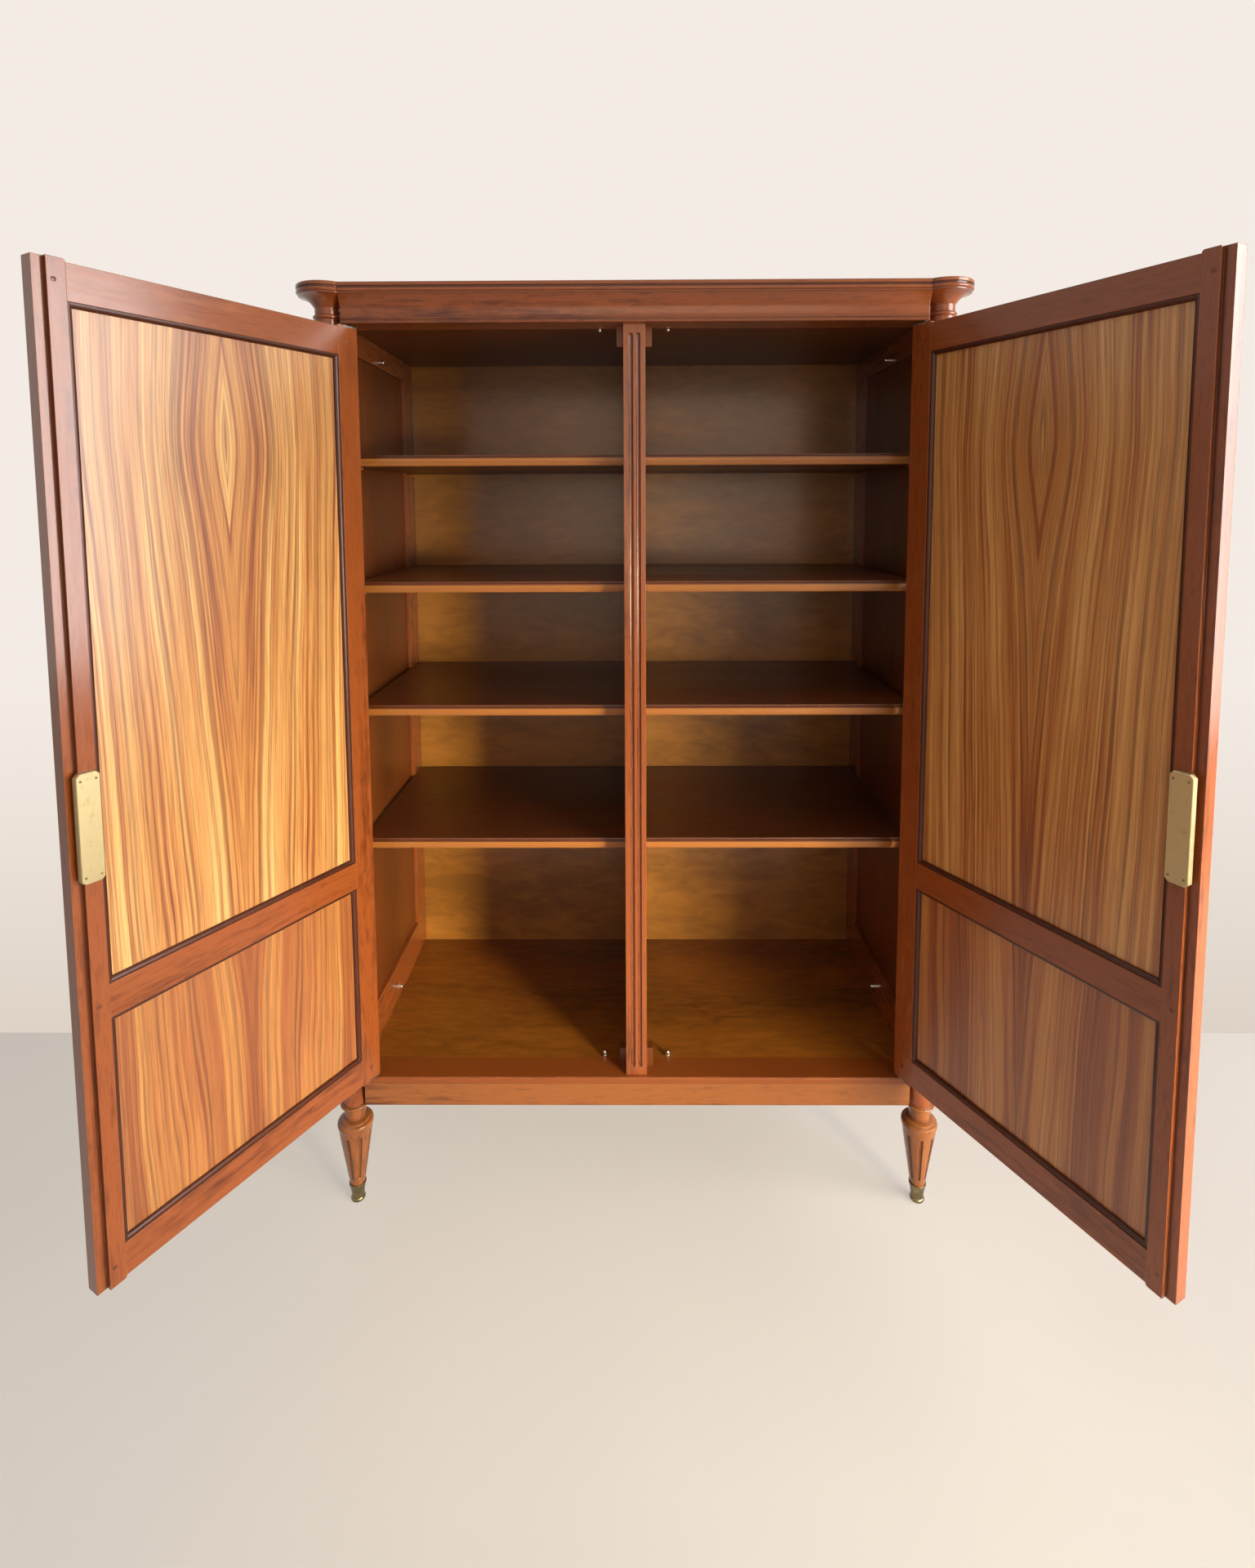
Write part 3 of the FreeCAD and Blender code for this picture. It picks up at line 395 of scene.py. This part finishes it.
def plain_wood(name, base, along, spacing=9.0, contrast=0.35, roughness=0.38, coat=0.2, long=9.0, band=None):
    """Stained and polished boards of the inside: one warm tone with soft straight figure, a little
    duller than the frame. A band, given as its top, its rear edge and its colour, tints a front strip."""
    size = sizes()
    material, tree, where = fresh(name)
    place = along_grain(tree, where, along, long)
    figure = add(tree, "ShaderNodeTexNoise", {
        "Vector": place, "Scale": 1 / (spacing * MM), "Detail": 4.0, "Roughness": 0.6,
        "Distortion": 0.8}).outputs[0]
    cloud = add(tree, "ShaderNodeTexNoise", {
        "Vector": place, "Scale": 1 / size.cloud, "Detail": 2.0}).outputs[0]
    mixed = layered(tree, 0.0, (figure, 0.5), (cloud, 0.5))
    wood = add(tree, "ShaderNodeValToRGB", {"Fac": mixed}, stops=[
        (0.36, shade(base, 1 - contrast)), (0.5, shade(base)),
        (0.64, shade(base, 1 + contrast))]).outputs[0]
    if band:
        top, rear, tone = band
        parts = add(tree, "ShaderNodeSeparateXYZ", {0: where}).outputs
        under = add(tree, "ShaderNodeMath", {0: parts[2], 1: top}, operation="LESS_THAN").outputs[0]
        ahead = add(tree, "ShaderNodeMath", {0: parts[1], 1: rear}, operation="LESS_THAN").outputs[0]
        strip = add(tree, "ShaderNodeMath", {0: under, 1: ahead}, operation="MULTIPLY").outputs[0]
        wood = add(tree, "ShaderNodeMix", {0: strip, 6: wood, 7: shade(tone)}, data_type="RGBA").outputs[2]
    # Sharp edges turn paler: rubbed polish, together with a painted highlight along them.
    soft, edge = edge_wear_and_highlight(tree, size.edge, most=0.35)
    wood = add(tree, "ShaderNodeMix", {0: edge, 6: wood, 7: shade(woods().worn)}, data_type="RGBA")
    gloss = add(tree, "ShaderNodeMapRange", {
        "Value": cloud, "From Min": 0.3, "From Max": 0.7, "To Min": roughness - 0.06,
        "To Max": roughness + 0.06})
    bump = add(tree, "ShaderNodeBump", {
        "Height": figure, "Strength": 0.1, "Distance": RELIEF, "Normal": soft})
    shader = add(tree, "ShaderNodeBsdfPrincipled", {
        "Base Color": wood.outputs[2], "Roughness": gloss.outputs[0], "Normal": bump.outputs[0],
        "Specular IOR Level": 0.35, "Coat Weight": coat, "Coat Roughness": 0.2})
    add(tree, "ShaderNodeOutputMaterial", {"Surface": shader.outputs["BSDF"]})
    return material


def brass(name, aged, roughness):
    """Lacquer-worn rolled brass: pale yellow where hands rub it, brown-green tarnish in clouds and
    fine specks, fine scratches that soften the reflections."""
    tint = metals()
    material, tree, where = fresh(name)
    cloud = add(tree, "ShaderNodeTexNoise", {
        "Vector": where, "Scale": 1 / (14 * MM), "Detail": 5.0, "Roughness": 0.65}).outputs[0]
    speck = add(tree, "ShaderNodeTexNoise", {
        "Vector": where, "Scale": 1 / (2 * MM), "Detail": 3.0}).outputs[0]
    stain = layered(tree, 0.0, (speck, 0.35), (cloud, 0.65))
    onset = 0.62 - 0.4 * aged
    metal = add(tree, "ShaderNodeValToRGB", {"Fac": stain}, stops=[
        (onset, shade(tint.brass)), (onset + 0.25, shade(tint.brass_aged))])
    soft, edge = edge_wear_and_highlight(tree, 0.8 * MM, most=0.7)
    metal = add(tree, "ShaderNodeMix", {0: edge, 6: metal.outputs[0], 7: shade(tint.brass)}, data_type="RGBA")
    scratch_place = add(tree, "ShaderNodeMapping", {"Vector": where, "Scale": one_axis("Z", 0.06)})
    scratch = add(tree, "ShaderNodeTexNoise", {
        "Vector": scratch_place.outputs[0], "Scale": 1 / (1.2 * MM), "Detail": 3.0})
    gloss = add(tree, "ShaderNodeMapRange", {
        "Value": stain, "From Min": 0.3, "From Max": 0.7, "To Min": roughness - 0.08,
        "To Max": roughness + 0.14})
    bump = add(tree, "ShaderNodeBump", {
        "Height": scratch.outputs[0], "Strength": 0.12, "Distance": 0.1 * MM, "Normal": soft})
    shader = add(tree, "ShaderNodeBsdfPrincipled", {
        "Base Color": metal.outputs[2], "Roughness": gloss.outputs[0], "Normal": bump.outputs[0],
        "Metallic": 1.0})
    add(tree, "ShaderNodeOutputMaterial", {"Surface": shader.outputs["BSDF"]})
    return material


def steel(name, tone, roughness):
    """Mill-finished or plated steel with a handled, slightly oxidised skin: grey, satin, faintly mottled."""
    material, tree, where = fresh(name)
    mottle = add(tree, "ShaderNodeTexNoise", {
        "Vector": where, "Scale": 1 / (5 * MM), "Detail": 4.0}).outputs[0]
    metal = add(tree, "ShaderNodeValToRGB", {"Fac": mottle}, stops=[
        (0.3, shade(tone, 0.55)), (0.6, shade(tone))])
    gloss = add(tree, "ShaderNodeMapRange", {
        "Value": mottle, "From Min": 0.3, "From Max": 0.7, "To Min": roughness - 0.06,
        "To Max": roughness + 0.12})
    shader = add(tree, "ShaderNodeBsdfPrincipled", {
        "Base Color": metal.outputs[0], "Roughness": gloss.outputs[0], "Metallic": 1.0})
    add(tree, "ShaderNodeOutputMaterial", {"Surface": shader.outputs["BSDF"]})
    return material


def dress(nodes, material):
    """Gives a finish to CAD pieces."""
    for node in nodes:
        piece = frame["nodes"][node]
        piece.data.materials.clear()
        piece.data.materials.append(material)


def nodes_named(*words):
    """CAD pieces whose name holds every one of the words."""
    return [node for node in sorted(frame["nodes"]) if all(word in node for word in words)]


def door_turn(door):
    """Angle about +Z, in radians, from the closed door to the door as it stands."""
    joint = JOINTS[door]
    return math.radians(-joint["range_deg"][0]) * joint["axis"][2]


def turned(door, points, turn):
    """Points turned about the door's pivot."""
    pivot = np.array(JOINTS[door]["pos_m"])
    spin = np.array([[math.cos(turn), -math.sin(turn), 0], [math.sin(turn), math.cos(turn), 0], [0, 0, 1]])
    return (points - pivot) @ spin.T + pivot


def to_open(door, points):
    """Points placed on the closed door, turned to where they are as it stands."""
    return turned(door, points, door_turn(door))


def closed_box(door, node):
    """Lowest and highest corner of a door piece when the door is closed."""
    mesh = frame["nodes"][node].data
    points = np.empty(len(mesh.vertices) * 3, np.float32)
    mesh.vertices.foreach_get("co", points)
    points = turned(door, points.reshape(-1, 3).astype(float), -door_turn(door))
    return points.min(0), points.max(0)


def new_piece(name, points, faces, material):
    """Object at the origin, with its place in its mesh."""
    mesh = bpy.data.meshes.new(name)
    mesh.from_pydata(points, [], faces)
    mesh.update()
    mesh.materials.append(material)
    piece = bpy.data.objects.new(name, mesh)
    bpy.context.scene.collection.objects.link(piece)
    return piece


def button_heads(name, door, across, along, face, radius, height, material):
    """Small round heads at each crossing of places across and up a closed door's inner face, turned with
    it to where the door stands. A point at a share of the radius, at an angle round the head, stands proud
    by the height less 0.6 of it times the share squared. The last row of the rim dips into the face."""
    sides, dome, dip = 20, 0.6, 0.4
    share = np.array([0.35, 0.7, 0.9, 1.0, 1.0])
    angle = np.linspace(0, 2 * np.pi, sides, endpoint=False)
    up = radius * share[:, None] * np.cos(angle)
    side = radius * share[:, None] * np.sin(angle)
    out = height * (1 - dome * share ** 2)[:, None] * np.ones_like(up)
    out[-1] = -dip * height
    head = np.vstack([[[0.0, height, 0.0]], np.stack([side, out, up], -1).reshape(-1, 3)])
    x, z = [grid.ravel() for grid in np.meshgrid(across, along)]
    centres = np.stack([x, np.full_like(x, face), z], -1)
    points = (centres[:, None, :] + head[None]).reshape(-1, 3)
    index = 1 + np.arange(share.size * sides).reshape(share.size, sides)
    after = np.roll(index, -1, 1)
    fan = np.stack([np.zeros(sides, int), index[0], after[0]], -1)
    bands = np.stack([index[:-1], index[1:], after[1:], after[:-1]], -1).reshape(-1, 4)
    first = np.arange(len(centres)) * len(head)
    faces = (fan[None] + first[:, None, None]).reshape(-1, 3).tolist()
    faces += (bands[None] + first[:, None, None]).reshape(-1, 4).tolist()
    piece = new_piece(name, to_open(door, points).tolist(), faces, material)
    piece.data.shade_smooth()
    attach(piece, door)


def return_section(low, high, inner, frieze):
    """Section of a cornice return as places across and heights: up the outside, then back to the inner
    face. Each bead is a half circle. The hollow is an arc that is upright at its foot and has swung out by
    its reach at its top, so its radius is height squared plus reach squared, over twice the reach."""
    size = sizes()
    angle = np.linspace(0, np.pi, 9)
    bead_out = size.bead / 2 * np.sin(angle)
    bead_up = size.bead / 2 * (1 - np.cos(angle))
    rise = np.linspace(0, size.hollow_high, 14)
    radius = (size.hollow_high ** 2 + size.hollow_reach ** 2) / (2 * size.hollow_reach)
    hollow_out = radius - np.sqrt(radius ** 2 - rise ** 2)
    top = high - low - size.top_drop
    out = np.concatenate([bead_out, bead_out, hollow_out, [size.hollow_reach]])
    up = np.concatenate([bead_up, bead_up + size.bead_step, rise + size.hollow_foot, [top]])
    x = np.concatenate([[inner], frieze + out, [inner]])
    z = low + np.concatenate([[0.0], up, [top]])
    return x, z


def cornice_return(side, sign):
    """Side cornice's section carried straight forward, to half a radius behind the column's middle."""
    cornice = frame["nodes"]["cornice_side_" + side]
    low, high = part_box("cornice_side_" + side)
    column_low, column_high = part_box("column_" + side)
    column_radius = (column_high.x - column_low.x) / 2
    front = column_low.y + 1.5 * column_radius
    x, z = return_section(low.z, high.z, min(abs(low.x), abs(high.x)),
                          max(abs(column_low.x), abs(column_high.x)))
    count = len(x)
    points = np.stack([np.tile(sign * x, 2), np.repeat([front, low.y], count), np.tile(z, 2)], -1)
    near = np.arange(count)
    after = np.roll(near, -1)
    faces = np.stack([near, near + count, after + count, after], -1).tolist()
    faces += [near.tolist(), (near + count)[::-1].tolist()]
    if sign < 0:
        faces = [face[::-1] for face in faces]
    piece = new_piece("cornice_return_" + side, points.tolist(), faces, cornice.data.materials[0])
    piece.data.shade_smooth()
    piece.data.set_sharp_from_angle(angle=math.radians(30))
    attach(piece, "carcase")


class WARDROBE_OT_frame_wood(bpy.types.Operator):
    """Finish the solid frame pieces: columns, legs, posts, rails, stiles, cornice, aprons and side panels"""

    bl_idname = "wardrobe.frame_wood"
    bl_label = "Frame wood"

    def execute(self, context):
        upright = frame_wood("french_polished_cherry_upright", "Z")
        across = frame_wood("french_polished_cherry_across", "X")
        deep = frame_wood("french_polished_cherry_front_to_back", "Y")
        dress(nodes_named("column") + nodes_named("back_post") + ["centre_post"] + nodes_named("stile"),
              upright)
        dress(["cornice_front"] + nodes_named("cornice_cap"), across)
        dress(nodes_named("leg_"), frame_wood("french_polished_cherry_legs", "Z", golden=True))
        dress(nodes_named("apron_"), frame_wood("french_polished_cherry_aprons", "X", golden=True))
        dress(nodes_named("cornice_side") + nodes_named("side_", "rail"), deep)
        for door in DOORS:
            dress(nodes_named(door, "rail"),
                  frame_wood("french_polished_cherry_%s_rails" % door, "X", door_turn(door)))
        dress(nodes_named("side_panel") + ["post_blocks"],
              plain_wood("polished_cherry_side_panels", woods().side, "Z"))
        return {"FINISHED"}


class WARDROBE_OT_door_panels(bpy.types.Operator):
    """Finish the door panels with book-matched figured veneer"""

    bl_idname = "wardrobe.door_panels"
    bl_label = "Door panels"

    def execute(self, context):
        # Each panel: the eye's height above its middle in metres, how pale it is, how coarse its streaks are.
        panels = (("upper", 0.285, 0.0, 1.0), ("lower", 0.62, -0.16, 1.8))
        for number, door in enumerate(DOORS):
            seed = 0.37 * number + 0.11
            for part, figure_high, tone, coarse in panels:
                node = "%s_%s_panel" % (door, part)
                low, high = closed_box(door, node)
                centre = to_open(door, ((low + high) / 2)[None])[0]
                dress([node], veneer("figured_walnut_veneer_%s_%s" % (door, part), door, tuple(centre),
                                     figure_high, seed, tone, coarse))
        return {"FINISHED"}


class WARDROBE_OT_panel_beads(bpy.types.Operator):
    """Finish the dark beads around the door panels"""

    bl_idname = "wardrobe.panel_beads"
    bl_label = "Panel beads"

    def execute(self, context):
        dress(nodes_named("panel_beads"), plain_wood(
            "dark_stained_bead", woods().bead, "Z", spacing=5.0, contrast=0.3, roughness=0.36, coat=0.1))
        return {"FINISHED"}


class WARDROBE_OT_inside(bpy.types.Operator):
    """Finish the shelves, floor board, partition, top, back and pegs"""

    bl_idname = "wardrobe.inside"
    bl_label = "Inside"

    def execute(self, context):
        tint = woods()
        lip_share = 0.68
        lip_deep = 6 * MM
        for level in range(1, 5):
            pair = nodes_named("shelf_%d_" % level)
            low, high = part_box(pair[0])
            lip = (low.z + lip_share * (high.z - low.z), low.y + lip_deep, tint.shelf_edge)
            dress(pair, plain_wood("polished_shelf_board_%d" % level, tint.shelf, "X", spacing=11.0,
                                   band=lip))
        whole_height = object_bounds()[1][2]
        strip = (whole_height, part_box("shelf_1_left")[0].y, tint.floor_front)
        dress(["floor_board"], plain_wood("polished_floor_board", tint.floor, "X", spacing=14.0,
                                          roughness=0.3, long=4.0, band=strip))
        dress(["partition"], plain_wood("polished_partition", tint.side, "Z"))
        dress(["top_panel"], plain_wood("polished_top_board", tint.side, "X"))
        dress(["back_panel"], plain_wood("rotary_cut_plywood_back", tint.back, "X", spacing=26.0,
                                         contrast=0.32, roughness=0.42, coat=0.6, long=3.0))
        dress(["shelf_pegs"], plain_wood("plain_peg_wood", tint.shelf_edge, "X"))
        return {"FINISHED"}


class WARDROBE_OT_metalwork(bpy.types.Operator):
    """Finish the locks, bolts, foot caps, assembly bolts and pivots"""

    bl_idname = "wardrobe.metalwork"
    bl_label = "Metalwork"

    def execute(self, context):
        dress(nodes_named("lock_case") + nodes_named("lock_bolt"),
              brass("rubbed_lock_brass", aged=0.15, roughness=0.42))
        dress(["sabots"], brass("tarnished_foot_brass", aged=0.9, roughness=0.3))
        dress(["assembly_bolts"], steel("nickel_plated_bolts", metals().nickel, 0.22))
        dress(nodes_named("pivots"), steel("worn_pivot_steel", metals().steel, 0.36))
        return {"FINISHED"}


class WARDROBE_OT_lock_pins(bpy.types.Operator):
    """Add the small pins that hold each lock case, one near every corner"""

    bl_idname = "wardrobe.lock_pins"
    bl_label = "Lock pins"

    def execute(self, context):
        size = sizes()
        end_inset = 1.8 * size.pin_inset
        metal = brass("dark_pin_brass", aged=1.0, roughness=0.45)
        for door in DOORS:
            low, high = closed_box(door, door + "_lock_case")
            across = np.array([low[0] + size.pin_inset, high[0] - size.pin_inset])
            along = np.array([low[2] + end_inset, high[2] - end_inset])
            button_heads(door + "_lock_pins", door, across, along, high[1], size.pin / 2, size.pin / 4,
                         metal)
        return {"FINISHED"}


class WARDROBE_OT_joint_pegs(bpy.types.Operator):
    """Add the end-grain pegs that pin the door rails into the stiles"""

    bl_idname = "wardrobe.joint_pegs"
    bl_label = "Joint pegs"

    def execute(self, context):
        size = sizes()
        proud = 0.08 * size.peg
        wood = plain_wood("end_grain_peg", woods().side, "Y", spacing=2.0)
        for door in DOORS:
            case, hinge, *rails = [closed_box(door, "%s_%s" % (door, part)) for part in (
                "lock_case", "hinge_stile", "bottom_rail", "middle_rail", "top_rail")]
            across = np.array([(low[0] + high[0]) / 2 for low, high in (case, hinge)])
            along = np.array([(low[2] + high[2]) / 2 for low, high in rails])
            button_heads(door + "_joint_pegs", door, across, along, hinge[1][1], size.peg / 2, proud,
                         wood)
        return {"FINISHED"}


class WARDROBE_OT_cornice_returns(bpy.types.Operator):
    """Carry the side cornices' moulding forward, behind the round caps, to the columns"""

    bl_idname = "wardrobe.cornice_returns"
    bl_label = "Cornice returns"

    def execute(self, context):
        cornice_return("left", -1.0)
        cornice_return("right", 1.0)
        return {"FINISHED"}


class WARDROBE_OT_stage(bpy.types.Operator):
    """Build the floor, wall, soft lights and camera"""

    bl_idname = "wardrobe.stage"
    bl_label = "Stage"

    def execute(self, context):
        settings = context.scene.wardrobe_stage
        context.scene.view_settings.view_transform = "Standard"
        floor_sheet(settings)
        wall_sheet(settings)
        room_light(settings)
        soft_lamp("window_light", place=(2.75, -1.3, 1.58), target=(-0.4, -0.1, 1.05), size=(1.9, 2.2),
                  watts=settings.key, tint=WHITE)
        soft_lamp("low_light", place=(1.75, -2.12, 0.9), target=(-0.2, 0.2, 0.42), size=(0.45, 0.45),
                  watts=settings.low, tint=settings.gold, spread=46.0)
        soft_lamp("front_light", place=(0.3, -3.6, 1.6), target=(0.0, 0.0, 1.0), size=(1.9, 1.6),
                  watts=settings.fill, tint=settings.warm)
        soft_lamp("ceiling_light", place=(0.0, -0.4, 4.2), target=(0.0, -0.4, 0.0), size=(4.5, 4.5),
                  watts=settings.top, tint=WHITE)
        camera_at_photo_view()
        return {"FINISHED"}


def sheet_object(name, corners, material):
    """Flat sheet through four corners."""
    sheet = new_piece(name, corners, [(0, 1, 2, 3)], material)
    sheet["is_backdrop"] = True
    return sheet


def seen_directly(tree):
    """1 for rays from the camera, a gloss or a glass, 0 for rays that only carry light."""
    path = add(tree, "ShaderNodeLightPath").outputs
    seen = add(tree, "ShaderNodeMath", {
        0: path["Is Camera Ray"], 1: path["Is Glossy Ray"]}, operation="MAXIMUM").outputs[0]
    return add(tree, "ShaderNodeMath", {
        0: seen, 1: path["Is Transmission Ray"]}, operation="MAXIMUM").outputs[0]


def floor_sheet(settings):
    """Pale floor that keeps the shadows and, to the eye, is half its own even light."""
    material, tree, where = fresh("pale_floor")
    cloud = add(tree, "ShaderNodeTexNoise", {"Vector": where, "Scale": 1 / settings.cloud, "Detail": 5.0})
    tone = add(tree, "ShaderNodeValToRGB", {"Fac": cloud.outputs[0]}, stops=[
        (0.35, shade(settings.floor, 0.95)), (0.65, shade(settings.floor))])
    shader = add(tree, "ShaderNodeBsdfPrincipled", {"Base Color": tone.outputs[0], "Roughness": 0.9})
    glow = add(tree, "ShaderNodeEmission", {"Color": shade(settings.floor_seen), "Strength": 1.0})
    share = add(tree, "ShaderNodeMath", {0: seen_directly(tree), 1: 0.5}, operation="MULTIPLY").outputs[0]
    mixed = add(tree, "ShaderNodeMixShader", {0: share, 1: shader.outputs[0], 2: glow.outputs[0]})
    add(tree, "ShaderNodeOutputMaterial", {"Surface": mixed.outputs[0]})
    reach = 7.0
    sheet_object("floor", [
        (-reach, -reach, 0), (reach, -reach, 0), (reach, reach, 0), (-reach, reach, 0)], material)


def wall_sheet(settings):
    """Pale wall just behind, seen only from the front and casting nothing, darker towards the floor with
    painted shade.
    """
    material, tree, where = fresh("pale_wall")
    height = add(tree, "ShaderNodeSeparateXYZ", {0: where}).outputs[2]
    # Painted shade: the wall's colour darkens towards its foot.
    tone = add(tree, "ShaderNodeValToRGB", {"Fac": height}, stops=[
        (0.0, shade(settings.wall_low_shade)), (0.9, shade(settings.wall))])
    glow = add(tree, "ShaderNodeEmission", {"Color": tone.outputs[0], "Strength": 1.0})
    clear = add(tree, "ShaderNodeBsdfTransparent")
    side = add(tree, "ShaderNodeNewGeometry").outputs["Backfacing"]
    mixed = add(tree, "ShaderNodeMixShader", {0: side, 1: glow.outputs[0], 2: clear.outputs[0]})
    add(tree, "ShaderNodeOutputMaterial", {"Surface": mixed.outputs[0]})
    back, reach, high = 0.468, 6.0, 5.0
    wall = sheet_object("wall", [
        (-reach, back, 0), (reach, back, 0), (reach, back, high), (-reach, back, high)], material)
    wall.visible_diffuse = False
    wall.visible_shadow = False


def room_light(settings):
    """Even pale light all round; the camera and the polish see the wall's colour."""
    world = bpy.data.worlds.new("room")
    bpy.context.scene.world = world
    world.use_nodes = True
    tree = world.node_tree
    tree.nodes.clear()
    strength = add(tree, "ShaderNodeMapRange", {
        "Value": seen_directly(tree), "To Min": settings.sky, "To Max": 1.0})
    back = add(tree, "ShaderNodeBackground", {"Color": shade(settings.wall), "Strength": strength.outputs[0]})
    add(tree, "ShaderNodeOutputWorld", {"Surface": back.outputs[0]})


def soft_lamp(name, place, target, size, watts, tint, spread=180.0):
    """Rectangular soft light aimed at a point."""
    data = bpy.data.lights.new(name, "AREA")
    data.shape = "RECTANGLE"
    data.size, data.size_y = size
    data.energy = watts
    data.color = tint
    data.spread = math.radians(spread)
    lamp = bpy.data.objects.new(name, data)
    lamp.location = place
    lamp.rotation_euler = (Vector(target) - Vector(place)).to_track_quat("-Z", "Y").to_euler()
    bpy.context.scene.collection.objects.link(lamp)


def camera_at_photo_view():
    """Camera at the photograph's place: eye height 1.35 m, looking slightly down, frame shifted downwards."""
    frame_long, focal_pixels, eye_row = 1920, 973.5, 698.6
    place = (-0.00373, -1.46206, 1.35118)
    pan, tilt, roll = [math.radians(angle) for angle in (0.39, 90 - 4.81, -0.23)]
    data = bpy.data.cameras.new("photo_view")
    data.sensor_width = 36.0
    data.lens = focal_pixels / frame_long * data.sensor_width
    data.shift_y = -(frame_long / 2 - eye_row) / frame_long
    data.clip_start = 0.05
    camera = bpy.data.objects.new("photo_view", data)
    turn = Matrix.Rotation(pan, 4, "Z") @ Matrix.Rotation(tilt, 4, "X")
    camera.matrix_world = Matrix.Translation(place) @ turn @ Matrix.Rotation(roll, 4, "Z")
    bpy.context.scene.collection.objects.link(camera)
    bpy.context.scene.camera = camera


STEPS = (WARDROBE_OT_frame_wood, WARDROBE_OT_door_panels, WARDROBE_OT_panel_beads, WARDROBE_OT_inside,
         WARDROBE_OT_metalwork, WARDROBE_OT_lock_pins, WARDROBE_OT_joint_pegs, WARDROBE_OT_cornice_returns,
         WARDROBE_OT_stage)
GROUPS = {
    WardrobeWoodColours: "wardrobe_woods",
    WardrobeMetalColours: "wardrobe_metals",
    WardrobeSizes: "wardrobe_sizes",
    WardrobeStage: "wardrobe_stage",
}


class WARDROBE_PT_panel(bpy.types.Panel):
    """Sizes, colours and steps of the wardrobe"""

    bl_idname = "WARDROBE_PT_panel"
    bl_label = "Wardrobe"
    bl_space_type = "VIEW_3D"
    bl_region_type = "UI"
    bl_category = "Wardrobe"

    def draw(self, context):
        for name in GROUPS.values():
            group = getattr(context.scene, name)
            box = self.layout.box()
            for field in group.bl_rna.properties:
                if field.identifier not in ("rna_type", "name"):
                    box.prop(group, field.identifier)
        for step in STEPS:
            self.layout.operator(step.bl_idname)


def register():
    for group, name in GROUPS.items():
        bpy.utils.register_class(group)
        setattr(bpy.types.Scene, name, bpy.props.PointerProperty(type=group))
    for step in STEPS:
        bpy.utils.register_class(step)
    bpy.utils.register_class(WARDROBE_PT_panel)


def unregister():
    bpy.utils.unregister_class(WARDROBE_PT_panel)
    for step in reversed(STEPS):
        bpy.utils.unregister_class(step)
    for group, name in GROUPS.items():
        delattr(bpy.types.Scene, name)
        bpy.utils.unregister_class(group)


def main():
    register()
    for step in STEPS:
        family, name = step.bl_idname.split(".")
        getattr(getattr(bpy.ops, family), name)()


if __name__ == "__main__":
    main()
